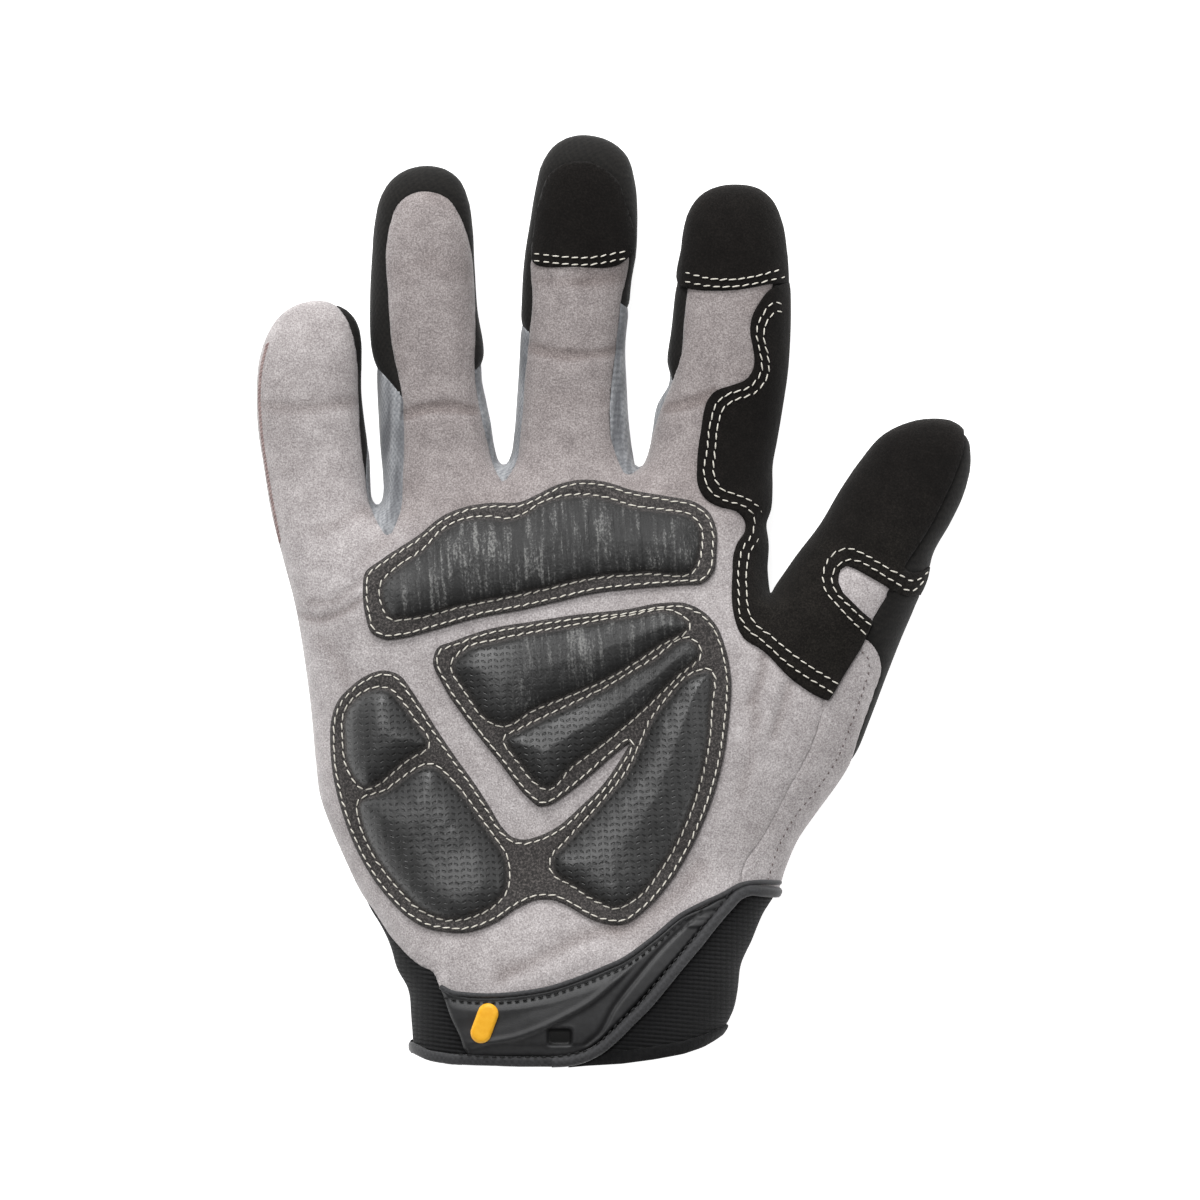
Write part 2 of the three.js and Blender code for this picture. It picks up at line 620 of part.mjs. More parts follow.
// Finishes, and the pieces that have them.
const finishes = {
  grey_suede: { color: 0xaaa4a2, roughness: 0.95 },
  black_suede: { color: 0x221f1d, roughness: 0.95 },
  stretch_fabric: { color: 0x1c1c1d, roughness: 0.85 },
  side_fabric: { color: 0xa5aab2, roughness: 0.8 },
  pad_leather: { color: 0x3c3b3b, roughness: 0.45 },
  rib_knit: { color: 0x19191a, roughness: 0.9 },
  moulded_rubber: { color: 0x424142, roughness: 0.5 },
  trim_tape: { color: 0x555557, roughness: 0.8 },
  yellow_rubber: { color: 0xfab928, roughness: 0.45 },
};
const pieceFinish = {
  palm_panel: "grey_suede",
  back_panel: "stretch_fabric",
  fourchette_little_ring: "side_fabric",
  fourchette_ring_middle: "side_fabric",
  fourchette_middle_index: "side_fabric",
  thumb_side_strip: "grey_suede",
  middle_tip_patch: "black_suede",
  index_tip_patch: "black_suede",
  saddle_patch: "black_suede",
  knuckle_pad: "pad_leather",
  palm_pad: "pad_leather",
  cuff_rib_left: "rib_knit",
  cuff_rib_right: "rib_knit",
  cuff_rubber_panel: "moulded_rubber",
  palm_piping: "trim_tape",
  diagonal_binding: "trim_tape",
  hem_binding: "trim_tape",
  cuff_accent: "yellow_rubber",
};

const group = new THREE.Group();
for (const [name, finish] of Object.entries(pieceFinish)) {
  const material = new THREE.MeshStandardMaterial({ ...finishes[finish], metalness: 0 });
  const mesh = new THREE.Mesh(geometryOf(panels[name]), material);
  mesh.name = name;
  group.add(mesh);
}

// The origin is the middle of the underside of the glove's box.
const box = new THREE.Box3().setFromObject(group);
const boxCentre = box.getCenter(new THREE.Vector3());
group.position.set(-boxCentre.x, -boxCentre.y, -box.min.z);

export default group;
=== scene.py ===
# %% [markdown]
# An impact glove, lying on its back with its palm up
#
# A work glove is sewn from flat panels that a hand fills out: a grey suede palm, a black stretch
# back, thin side walls between the fingers, quilted leather pads and a ribbed cuff. Here every
# panel is cut from one smooth "filled glove" surface, as a tailor marks panels on a dummy, so
# that neighbours meet exactly. This first cell loads the imported model, which gives the pieces
# that carry the glove's size.

# %% Load the frame
import math

import bpy
import numpy as np
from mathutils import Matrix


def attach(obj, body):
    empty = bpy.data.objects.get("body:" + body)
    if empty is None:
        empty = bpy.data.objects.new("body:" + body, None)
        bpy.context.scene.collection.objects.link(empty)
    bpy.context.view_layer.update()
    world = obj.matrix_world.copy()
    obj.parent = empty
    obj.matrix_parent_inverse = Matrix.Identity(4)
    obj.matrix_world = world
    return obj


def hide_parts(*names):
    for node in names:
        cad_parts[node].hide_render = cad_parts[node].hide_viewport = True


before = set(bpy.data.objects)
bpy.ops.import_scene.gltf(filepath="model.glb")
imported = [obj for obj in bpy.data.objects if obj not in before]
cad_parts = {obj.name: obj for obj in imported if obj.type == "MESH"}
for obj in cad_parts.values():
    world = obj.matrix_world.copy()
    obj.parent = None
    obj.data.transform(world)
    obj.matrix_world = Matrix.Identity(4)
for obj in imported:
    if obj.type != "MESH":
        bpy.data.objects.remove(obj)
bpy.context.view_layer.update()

# %% [markdown]
# Places on the glove were measured on the photograph, which looks straight down on the palm. One
# pixel is a quarter of a millimetre, so a short list of pixel points with one scale is easier to
# check by eye than a list of odd lengths. A smooth line through a few points is a cubic through
# each pair, with the slope at a point taken from its neighbours.

# %% Measuring on the photograph
MM = 0.001
MM_PER_PIXEL = 0.25
PIXEL_MIDDLE = np.array([615.5, 599.5])
FINER = 0.3   # a curve is drawn with steps this much finer than those it is read at


def on_glove(pixels):
    """Pixels (x right, y down) to millimetres (x right, y up) from the middle of the glove."""
    return (np.asarray(pixels, float) - PIXEL_MIDDLE) * (MM_PER_PIXEL, -MM_PER_PIXEL)


def smooth_line(points, closed=False, step=0.7):
    """Cubic curve through points, spaced by chord length, with the weighted mean of the two
    neighbouring chords as slope; then resampled at even steps along its length."""
    points = np.asarray(points, float)
    if closed:
        points = np.vstack([points[-2:], points, points[:3]])
    knots = np.concatenate([[0], np.cumsum(np.hypot(*np.diff(points, axis=0).T))])
    gaps = np.diff(knots)[:, None]
    chords = np.diff(points, axis=0) / gaps
    slopes = np.vstack([chords[:1], (chords[:-1] * gaps[1:] + chords[1:] * gaps[:-1])
                        / (gaps[1:] + gaps[:-1]), chords[-1:]])
    low, high = (knots[2], knots[-3]) if closed else (knots[0], knots[-1])
    t = np.linspace(low, high, max(int((high - low) / (step * FINER)), 8))
    i = np.clip(np.searchsorted(knots, t, side="right") - 1, 0, len(gaps) - 1)
    s = ((t - knots[i]) / gaps[i, 0])[:, None]
    curve = ((1 + 2 * s) * (1 - s) ** 2 * points[i] + s * (1 - s) ** 2 * gaps[i] * slopes[i]
             + s * s * (3 - 2 * s) * points[i + 1] - s * s * (1 - s) * gaps[i] * slopes[i + 1])
    return resample(curve, step, closed)


def resample(line, step, closed=False):
    """Points at even steps along a line, found by interpolating its running length."""
    run = np.concatenate([[0], np.cumsum(np.linalg.norm(np.diff(line, axis=0), axis=1))])
    count = max(int(round(run[-1] / step)), 2)
    at = np.linspace(0, run[-1], count + 1)[:-1 if closed else None]
    return np.column_stack([np.interp(at, run, line[:, k]) for k in range(line.shape[1])])


def ease(low, high, value):
    """Smoothstep: 0 below low, 1 above high, and 3t^2 - 2t^3 between."""
    t = np.clip((value - low) / (high - low), 0, 1)
    return t * t * (3 - 2 * t)


def bell(value, middle, width):
    """Bell curve: exp(-((value - middle) / width)^2)."""
    return np.exp(-((value - middle) / width) ** 2)


def rounded(inside, radius):
    """Quarter circle: sqrt(1 - (1 - t)^2), where t goes from 0 at an edge to 1 at the radius."""
    t = np.clip(inside / radius, 0, 1)
    return np.sqrt(1 - (1 - t) ** 2)


def unit(vectors):
    """Each row of an array divided by its own length."""
    return vectors / np.maximum(np.linalg.norm(vectors, axis=1, keepdims=True), 1e-12)


def distance_to(line, x, y, closed=False):
    """Distance from each place to the nearest segment of a line: the foot of the perpendicular,
    held to the segment's ends."""
    ends = np.roll(line, -1, axis=0) if closed else line[1:]
    starts = line if closed else line[:-1]
    best = np.full(np.shape(x), np.inf)
    for (ax, ay), (bx, by) in zip(starts, ends):
        dx, dy = bx - ax, by - ay
        t = np.clip(((x - ax) * dx + (y - ay) * dy) / (dx * dx + dy * dy + 1e-12), 0, 1)
        best = np.minimum(best, (x - ax - t * dx) ** 2 + (y - ay - t * dy) ** 2)
    return np.sqrt(best)


def signed(line, x, y):
    """Signed distance to a closed outline, negative inside. A place is inside when a ray to the
    right crosses the outline an odd number of times."""
    inside = np.zeros(np.shape(x), bool)
    for (ax, ay), (bx, by) in zip(line, np.roll(line, -1, axis=0)):
        if ay != by:
            inside ^= ((ay > y) != (by > y)) & (x < (bx - ax) * (y - ay) / (by - ay) + ax)
    return np.where(inside, -1, 1) * distance_to(line, x, y, closed=True)


# %% [markdown]
# The outline of the filled glove comes first, because every view is judged by it. It runs from
# the hem up the little finger's side, round each fingertip and down to the hem again, and goes
# on past the hem, where it is cut later.

# %% The outline
OUTLINE = on_glove([
    (413, 1112), (413, 1075), (413, 1045), (411, 1015), (408, 988), (397, 968), (391, 948),
    (381, 928), (368, 908), (356, 884), (343, 856), (330, 826), (320, 798), (315, 760),
    (311, 715), (304, 660), (294, 603), (282, 558), (270, 512), (262, 465), (256, 425),
    (255, 392), (258, 357), (267, 331), (281, 312), (299, 302), (319, 299), (340, 304),
    (355, 318), (361, 336), (362, 360), (362, 392), (365, 422), (370, 452), (371, 482),
    (373, 499), (378, 506), (382, 496), (382, 475), (379, 444), (377, 405), (375, 372),
    (370, 344), (369, 302), (371, 255), (374, 220), (380, 195), (390, 179), (406, 168),
    (427, 164), (446, 168), (459, 178), (468, 198), (473, 228), (476, 265), (479, 312),
    (484, 352), (482, 376), (486, 398), (491, 422), (495, 446), (500, 462), (504, 466),
    (509, 457), (513, 434), (516, 396), (519, 350), (521, 300), (523, 262), (529, 222),
    (535, 187), (542, 161), (555, 143), (574, 134), (593, 134), (613, 141), (627, 154),
    (635, 179), (638, 215), (637, 252), (632, 283), (629, 313), (626, 342), (627, 385),
    (630, 430), (634, 456), (638, 468), (643, 461), (650, 434), (657, 402), (668, 382),
    (667, 361), (671, 330), (676, 284), (683, 240), (690, 212), (701, 196), (718, 187),
    (738, 185), (757, 188), (771, 199), (781, 221), (786, 252), (788, 286), (788, 332),
    (785, 375), (781, 402), (775, 438), (770, 466), (770, 490), (768, 511), (764, 521),
    (766, 543), (765, 575), (770, 598), (781, 583), (799, 557), (822, 527), (844, 490),
    (864, 461), (885, 437), (906, 426), (930, 421), (954, 424), (969, 437), (972, 456),
    (966, 490), (952, 521), (934, 553), (927, 578), (916, 605), (901, 640), (884, 685),
    (870, 722), (857, 754), (838, 783), (815, 814), (797, 840), (785, 867), (776, 893),
    (763, 914), (752, 940), (741, 964), (738, 988), (734, 1008), (727, 1023), (717, 1038),
    (707, 1058), (701, 1085), (699, 1112), (630, 1114), (556, 1115), (484, 1114),
])
outline = smooth_line(OUTLINE, closed=True, step=0.9)
print("outline", len(OUTLINE), "points,", len(outline), "steps")

# %% [markdown]
# A glove has no edges: the fabric is blown up over the hand. The height of such a skin over its
# outline is like a soap film under pressure that a spring pulls back, so it is steep at the rim
# and level in the middle of the palm. That film is one equation, solved here on a grid by
# repeating a weighted mean of each node's neighbours. Near the rim each node knows how far away
# the true outline is, which keeps the edge smooth although the grid is coarse.

# %% The film over the outline
GRID = 0.8
FILM_REACH = 14.0    # mm over which the film climbs from its rim
FILM_STEPS = 500
FIRST_GUESS = 0.92   # share of the film of an endless straight rim
OLD_SHARE, NEW_SHARE = 0.1, 0.9
OUTER_RINGS, FILM_FLOOR = 6, -20
NEIGHBOURS = [(0, 1), (0, -1), (1, 1), (1, -1)]
X = np.arange(-97, 97, GRID)
Y = np.arange(-136, 122, GRID)
gx, gy = np.meshgrid(X, Y, indexing="ij")
rim = signed(outline, gx, gy)


def shift(field, axis, way):
    """The field moved one node along an axis, so that each node reads its neighbour."""
    return np.roll(field, -way, axis=axis)


def around(field):
    """Sum of the four neighbours of each node."""
    return sum(shift(field, axis, way) for axis, way in NEIGHBOURS)


def film(rim, reach):
    """Solves u = (sum of inner neighbours + h^2) / (4 + h^2/reach^2 + sum of (1-t)/t), where t is
    the share of the way to an outer neighbour at which the outline lies."""
    inside = rim < 0
    near = [shift(rim, axis, way) for axis, way in NEIGHBOURS]
    open_way = [(other < 0).astype(float) for other in near]
    share = [np.clip(-rim / np.maximum(other - rim, 1e-9), 0.03, 1) for other in near]
    pull = sum((1 - is_open) * (1 - t) / t for is_open, t in zip(open_way, share))
    weight = 4 + (GRID / reach) ** 2 + pull
    u = np.where(inside, reach ** 2 * (1 - np.exp(rim / reach)) * FIRST_GUESS, 0)
    for _ in range(FILM_STEPS):
        total = sum(is_open * shift(u, *way) for is_open, way in zip(open_way, NEIGHBOURS))
        u = np.where(inside, OLD_SHARE * u + NEW_SHARE * (total + GRID ** 2) / weight, 0)
    return u


def past_rim(u, rim):
    """Carries the film over the rim: u = slope * distance, the slope spread outwards by means."""
    known = rim < -0.35 * GRID
    slope = np.where(known, u / np.maximum(-rim, 0.1), 0)
    have = known.astype(float)
    for _ in range(OUTER_RINGS):
        total, count = around(slope * have), around(have)
        fill = (have == 0) & (count > 0)
        slope = np.where(fill, total / np.maximum(count, 1), slope)
        have = np.where(fill, 1, have)
    slope = np.where(have > 0, slope, slope[have > 0].mean())
    return np.where(known, u, np.maximum(-rim * slope, FILM_FLOOR))


film_height = past_rim(film(rim, FILM_REACH), rim)
print("film at most", round(float(film_height.max()), 1), "mm squared")

# %% [markdown]
# The front and back of the glove are the film's root above and below a middle surface, which
# lies low in the fingers, higher in the palm and highest at the wrist. The glove's weight
# presses the back flat on the table.

# %% Front and back of the glove
FINGER_LIFT, PALM_LIFT, CUFF_LIFT, THUMB_LIFT = 9.9, 5.6, 6.0, 2.4
FINGER_SWELL, PALM_SWELL, CUFF_SWELL = 1.27, 0.07, 0.16


def palm_share(y):
    """0 in the fingers and 1 in the palm, by a smooth step over the knuckles."""
    return 1 - ease(-6, 40, y)


def cuff_share(y):
    """0 in the palm and 1 in the cuff, by a smooth step over the wrist."""
    return 1 - ease(-98, -60, y)


def middle_surface(x, y):
    """Height of the middle surface: the finger lift plus smooth steps towards palm and cuff."""
    thumb = THUMB_LIFT * ease(34, 62, x) * ease(-20, 20, y)
    return FINGER_LIFT + PALM_LIFT * palm_share(y) + CUFF_LIFT * cuff_share(y) + thumb


def swell(y):
    """How far the film's root is stretched: more in the palm and most at the cuff."""
    return FINGER_SWELL + PALM_SWELL * palm_share(y) + CUFF_SWELL * cuff_share(y)


def cubic(field, x, y, x0=X[0], y0=Y[0], step=GRID):
    """Reads a grid field at any place from its 4 x 4 nearest nodes, by cubic weights."""
    px, py = (x - x0) / step, (y - y0) / step
    ix = np.clip(np.floor(px).astype(int), 1, field.shape[0] - 3)
    iy = np.clip(np.floor(py).astype(int), 1, field.shape[1] - 3)
    fx, fy = px - ix, py - iy

    def weights(f):
        return ((-0.5 * f + f * f - 0.5 * f ** 3), (1 - 2.5 * f * f + 1.5 * f ** 3),
                (0.5 * f + 2 * f * f - 1.5 * f ** 3), (-0.5 * f * f + 0.5 * f ** 3))

    wx, wy = weights(fx), weights(fy)
    return sum(wx[i] * wy[j] * field[ix + i - 1, iy + j - 1] for i in range(4) for j in range(4))


def film_at(x, y):
    """The film at any place."""
    return cubic(film_height, x, y)


# %% [markdown]
# Suede creases where a finger bends and wrinkles where the palm has more leather than it needs.
# Each fold is a short line with a depth and a width, and the front is pressed in along it in the
# form of a bell curve. A negative depth is a soft ridge.

# %% Creases of the front
FOLDS = [
    dict(depth=0.85, width=1.2, line=[(404, 416), (420, 410), (445, 407), (474, 411)]),
    dict(depth=-0.35, width=3.2, line=[(405, 425), (440, 430), (484, 424)]),
    dict(depth=0.65, width=1.2, line=[(529, 347), (555, 354), (590, 355), (618, 350)]),
    dict(depth=-0.3, width=3.0, line=[(531, 368), (570, 373), (612, 368)]),
    dict(depth=0.3, width=1.4, line=[(536, 279), (575, 283), (622, 277)]),
    dict(depth=0.6, width=1.3, line=[(668, 408), (690, 403), (714, 394)]),
    dict(depth=0.35, width=1.6, line=[(262, 405), (300, 409), (358, 402)]),
    dict(depth=0.55, width=1.1, line=[(296, 613), (317, 620), (342, 613), (362, 600)]),
    dict(depth=0.4, width=1.2, line=[(312, 603), (335, 601), (352, 590), (366, 578)]),
    dict(depth=0.35, width=2.4, line=[(322, 532), (345, 520), (366, 510)]),
    dict(depth=0.3, width=2.2, line=[(366, 562), (388, 540)]),
    dict(depth=0.5, width=1.5, line=[(752, 700), (762, 670), (764, 655)]),
    dict(depth=0.45, width=1.4, line=[(772, 735), (783, 700), (788, 684)]),
    dict(depth=-0.4, width=2.0, line=[(760, 740), (772, 705), (776, 680)]),
    dict(depth=0.4, width=1.8, line=[(742, 790), (752, 745), (757, 715)]),
    dict(depth=0.4, width=2.6, line=[(620, 930), (655, 908), (700, 865)]),
    dict(depth=0.55, width=2.4, line=[(505, 972), (540, 956), (580, 937), (612, 926)]),
    dict(depth=-0.4, width=2.6, line=[(520, 982), (560, 966), (600, 946)]),
    dict(depth=0.35, width=2.0, line=[(352, 700), (338, 660), (322, 640)]),
]


LATTICE = 128
LATTICE_MIDDLE = (57.3, 41.7)


def soft_noise(x, y, size_x, size_y, seed):
    """Smooth random field from -1 to 1: a random lattice, read between its nodes by smoothstep."""
    lattice = np.random.default_rng(seed).uniform(-1, 1, (LATTICE, LATTICE))
    px, py = x / size_x + LATTICE_MIDDLE[0], y / size_y + LATTICE_MIDDLE[1]
    ix, iy = np.floor(px).astype(int), np.floor(py).astype(int)
    fx, fy = ease(0, 1, px - ix), ease(0, 1, py - iy)
    a, b, c, d = (lattice[(ix + i) % LATTICE, (iy + j) % LATTICE]
                  for i, j in ((0, 0), (1, 0), (0, 1), (1, 1)))
    return (a * (1 - fx) + b * fx) * (1 - fy) + (c * (1 - fx) + d * fx) * fy


def folds(x, y):
    """Minus the sum of depth times bell curve of the distance over all folds, plus two faint
    soft noises: the fabric's slack."""
    total = np.zeros(np.shape(x))
    for fold in FOLDS:
        line = smooth_line(on_glove(fold["line"]), step=2.0)
        total -= fold["depth"] * bell(distance_to(line, x, y), 0, fold["width"])
    return total + 0.16 * soft_noise(x, y, 13, 10, 5) + 0.07 * soft_noise(x, y, 5, 4, 6)


fold_height = folds(gx, gy)


def front(x, y):
    """Height of the front at a place: middle surface + swell * root of the film + folds."""
    u = np.maximum(film_at(x, y), 0)
    return middle_surface(x, y) + swell(y) * np.sqrt(u) + cubic(fold_height, x, y)


print("front at most", round(float(front(gx, gy)[4:-4, 4:-4].max()), 1), "mm")

# %% [markdown]
# The skin itself is found where the film equation changes sign in a block of cells. Each cell
# that it crosses gets one point, the mean of its crossings, and each grid edge that it crosses
# gets one face between the four cells around it. This method, surface nets, gives even quads
# with no seams between front and back.

# %% The skin of the whole glove
NET = 1.1
NET_LOW, NET_HIGH = np.array([-96, -133, -5.0]), np.array([96, 121, 47.0])
RELAX_IN, RELAX_OUT = 0.5, -0.53
TABLE_ROUND, TABLE_SINK = 2.2, 0.15


def surface_nets(field, origin, step):
    """One vertex per crossed cell at the mean of its edge crossings, one quad per crossed edge."""
    size = [n - 1 for n in field.shape]
    crossed = np.zeros(size)
    total = np.zeros(size + [3])
    base = np.stack(np.meshgrid(*[np.arange(n) for n in size], indexing="ij"), -1)
    edges = []
    for axis in range(3):
        a = np.take(field, range(field.shape[axis] - 1), axis=axis)
        b = np.take(field, range(1, field.shape[axis]), axis=axis)
        cut = (a < 0) != (b < 0)
        part = np.where(cut, a / np.where(cut, a - b, 1), 0)
        others = [k for k in range(3) if k != axis]
        edges.append((cut, a < 0, others))
        for i, j in ((0, 0), (0, 1), (1, 0), (1, 1)):
            view = [slice(None)] * 3
            view[others[0]] = slice(i, i + size[others[0]])
            view[others[1]] = slice(j, j + size[others[1]])
            here, t = cut[tuple(view)], part[tuple(view)]
            crossed += here
            total[..., axis] += np.where(here, t, 0)
            total[..., others[0]] += np.where(here, i, 0)
            total[..., others[1]] += np.where(here, j, 0)
    live = crossed > 0
    number = np.full(live.shape, -1)
    number[live] = np.arange(live.sum())
    points = (base[live] + total[live] / crossed[live][:, None]) * step + origin
    quads = []
    for axis, (cut, low_inside, (first, second)) in enumerate(edges):
        inner = [slice(None)] * 3
        inner[first] = inner[second] = slice(1, -1)
        place = np.argwhere(cut[tuple(inner)])
        place[:, [first, second]] += 1
        corners = []
        for i, j in ((1, 1), (0, 1), (0, 0), (1, 0)):
            cell = place.copy()
            cell[:, first] -= i
            cell[:, second] -= j
            corners.append(number[tuple(cell.T)])
        quad = np.stack(corners, 1)
        turn = low_inside[tuple(place.T)] ^ (axis == 1)
        quads.append(np.where(turn[:, None], quad, quad[:, ::-1]))
    return points, np.vstack(quads)


def point_normals(points, triangles):
    """Unit normal of each vertex: the sum of its triangles' cross products, made unit length."""
    a, b, c = (points[triangles[:, k]] for k in range(3))
    cross = np.cross(b - a, c - a)
    total = np.zeros_like(points)
    for k in range(3):
        for axis in range(3):
            total[:, axis] += np.bincount(triangles[:, k], cross[:, axis], len(points))
    return unit(total)


def relax(points, quads, rounds):
    """Smoothing that keeps the size: each vertex moves towards its neighbours' mean and
    then back a little further, which takes out the grid's steps."""
    ends = np.vstack([quads[:, [k, (k + 1) % 4]] for k in range(4)])
    count = np.bincount(ends.ravel(), minlength=len(points))
    for strength in [RELAX_IN, RELAX_OUT] * rounds:
        total = np.zeros_like(points)
        for axis in range(3):
            total[:, axis] = (np.bincount(ends[:, 0], points[ends[:, 1], axis], len(points))
                              + np.bincount(ends[:, 1], points[ends[:, 0], axis], len(points)))
        points = points + strength * (total / count[:, None] - points)
    return points


def rest_on_table(z):
    """Height as the table leaves it: half of z + sqrt(z^2 + round), less a small sink, which
    changes nothing high up and flattens the back near 0."""
    return 0.5 * (z + np.sqrt(z ** 2 + TABLE_ROUND)) - TABLE_SINK


def split(a, b, c, d):
    """Two triangles for each quad, from the arrays of its four corners."""
    return np.vstack([np.stack([a, b, c], -1).reshape(-1, 3),
                      np.stack([a, c, d], -1).reshape(-1, 3)])


nx, ny, nz = [np.arange(low, high, NET) for low, high in zip(NET_LOW, NET_HIGH)]
nx, ny = np.meshgrid(nx, ny, indexing="ij")
depth = (nz[None, None, :] - middle_surface(nx, ny)[:, :, None]) / swell(ny)[:, :, None]
blown = depth ** 2 - film_at(nx, ny)[:, :, None]
skin, skin_quads = surface_nets(blown, NET_LOW, NET)
skin = relax(skin, skin_quads, 3)
upper = ease(0, 6, skin[:, 2] - middle_surface(skin[:, 0], skin[:, 1]))
skin[:, 2] += upper * cubic(fold_height, skin[:, 0], skin[:, 1])
skin[:, 2] = rest_on_table(skin[:, 2])
skin_triangles = split(*skin_quads.T)
skin_normals = point_normals(skin, skin_triangles)
print("skin", len(skin), "points", len(skin_triangles), "triangles")

# %% [markdown]
# Every panel is a part of this skin, cut out along its seam lines with a scalpel: a field tells
# for each point how far it lies inside the panel, and triangles that the zero line crosses are
# cut exactly on it. The panel then gets its thickness inwards. A panel edge that is sewn down
# dips into the seam, while a patch that lies on top stands out by its own thickness.

# %% Cutting a panel out of the skin
ON_LINE = 1e-4     # mm; a point nearer to the line than this counts as just outside it
EDGE_KEY = 10 ** 7  # over the number of points, so that first * key + second names an edge


def clip(points, triangles, field, extra=None):
    """Keeps the part of a triangle mesh where field < 0. Each crossed edge gets one point, at the
    share f0 / (f0 - f1) along it; extra values are carried along in the same way."""
    data = points if extra is None else np.column_stack([points, extra])
    field = np.where(np.abs(field) < ON_LINE, ON_LINE, field)
    inside = field[triangles] < 0
    count = inside.sum(axis=1)
    kept = triangles[count == 3]
    cuts = []
    for alone, wanted in ((True, 1), (False, 2)):
        pick = triangles[count == wanted]
        lone = np.argmax(inside[count == wanted] == alone, axis=1)
        a, b, c = (pick[np.arange(len(pick)), (lone + k) % 3] for k in range(3))
        cuts.append((a, b, c))
    pairs = np.vstack([np.stack([a, other], 1) for a, b, c in cuts for other in (b, c)])
    keys, back = np.unique(np.sort(pairs, axis=1), axis=0, return_inverse=True)
    f0, f1 = field[keys[:, 0]], field[keys[:, 1]]
    t = (f0 / (f0 - f1))[:, None]
    new = data[keys[:, 0]] * (1 - t) + data[keys[:, 1]] * t
    back = back.ravel() + len(data)
    n1, n2 = len(cuts[0][0]), len(cuts[1][0])
    ab, ac = back[:n1], back[n1:2 * n1]
    tips = np.stack([cuts[0][0], ab, ac], 1)
    ab, ac = back[2 * n1:2 * n1 + n2], back[2 * n1 + n2:]
    a, b, c = cuts[1]
    triangles = np.vstack([kept, tips, np.stack([b, c, ac], 1), np.stack([b, ac, ab], 1)])
    data = np.vstack([data, new])
    used, triangles = np.unique(triangles, return_inverse=True)
    data, triangles = data[used], triangles.reshape(-1, 3)
    return data[:, :3], triangles, data[:, 3:]


def rim_edges(triangles):
    """Directed edges that only one triangle has."""
    edges = np.vstack([triangles[:, [0, 1]], triangles[:, [1, 2]], triangles[:, [2, 0]]])
    first, second = edges.T
    return edges[~np.isin(first * EDGE_KEY + second, second * EDGE_KEY + first)]


def thicken(points, triangles, inner):
    """A closed sheet: outer points, inner points, and two triangles along each rim edge."""
    n = len(points)
    a, b = rim_edges(triangles).T
    wall = np.vstack([np.stack([b, a, a + n], 1), np.stack([b, a + n, b + n], 1)])
    return np.vstack([points, inner]), np.vstack([triangles, triangles[:, ::-1] + n, wall])


def make_piece(name, points, triangles, node, finish, values=None):
    """A mesh object from millimetre points, with named values per point. It rides on the glove's
    one body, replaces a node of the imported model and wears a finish."""
    mesh = bpy.data.meshes.new(name)
    mesh.vertices.add(len(points))
    mesh.vertices.foreach_set("co", (np.asarray(points) * MM).astype(np.float32).ravel())
    mesh.loops.add(3 * len(triangles))
    mesh.loops.foreach_set("vertex_index", triangles.astype(np.int32).ravel())
    mesh.polygons.add(len(triangles))
    mesh.polygons.foreach_set("loop_start", np.arange(0, 3 * len(triangles), 3, dtype=np.int32))
    mesh.polygons.foreach_set("use_smooth", np.ones(len(triangles), bool))
    for key, value in (values or {}).items():
        layer = mesh.attributes.new(key, "FLOAT", "POINT")
        layer.data.foreach_set("value", np.asarray(value, np.float32))
    mesh.update(calc_edges=True)
    mesh.validate()
    mesh.materials.append(finish)
    piece = bpy.data.objects.new(name, mesh)
    bpy.context.scene.collection.objects.link(piece)
    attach(piece, "root")
    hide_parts(node)
    print(name, len(triangles), "triangles")
    return piece


# %% [markdown]
# The seam lines, measured on the photograph. Where a panel wraps round the side of the glove its
# line runs on well outside the outline, and the panel ends at the side seam, a little below the
# widest part.

# %% Seam lines
GREY_LINE = on_glove([
    (300, 900), (338, 884), (362, 899), (393, 940), (421, 964), (434, 970), (440, 984),
    (448, 998), (466, 1003), (488, 1004), (518, 1002), (548, 997), (580, 988), (608, 977),
    (626, 970), (660, 948), (690, 924), (706, 914), (730, 908), (742, 892), (741, 875),
    (767, 830), (787, 791), (815, 735), (822, 700), (800, 672), (768, 650), (752, 632),
    (742, 600), (744, 560), (752, 530), (745, 512), (716, 500), (706, 470), (712, 420),
    (726, 398), (755, 386), (764, 350), (762, 320), (768, 300), (774, 286), (774, 264),
    (690, 262), (686, 292), (682, 330), (680, 355), (671, 380), (661, 404), (651, 433),
    (643, 458), (636, 470), (628, 474), (619, 459), (613, 441), (611, 406), (617, 350),
    (622, 304), (628, 250), (575, 240), (534, 250), (531, 304), (528, 334), (523, 380),
    (519, 430), (512, 468), (503, 481), (496, 468), (490, 446), (482, 412), (477, 383),
    (477, 324), (476, 283), (473, 252), (467, 230), (459, 212), (447, 197), (430, 191),
    (411, 193), (397, 204), (389, 224), (385, 246), (387, 293), (392, 351), (398, 378),
    (402, 400), (403, 423), (402, 476), (398, 518), (388, 536), (379, 524), (370, 500),
    (367, 478), (362, 440), (360, 400), (358, 356), (354, 335), (345, 314), (331, 298),
    (300, 280), (250, 290), (225, 360), (230, 450), (250, 560), (268, 680), (280, 800),
])
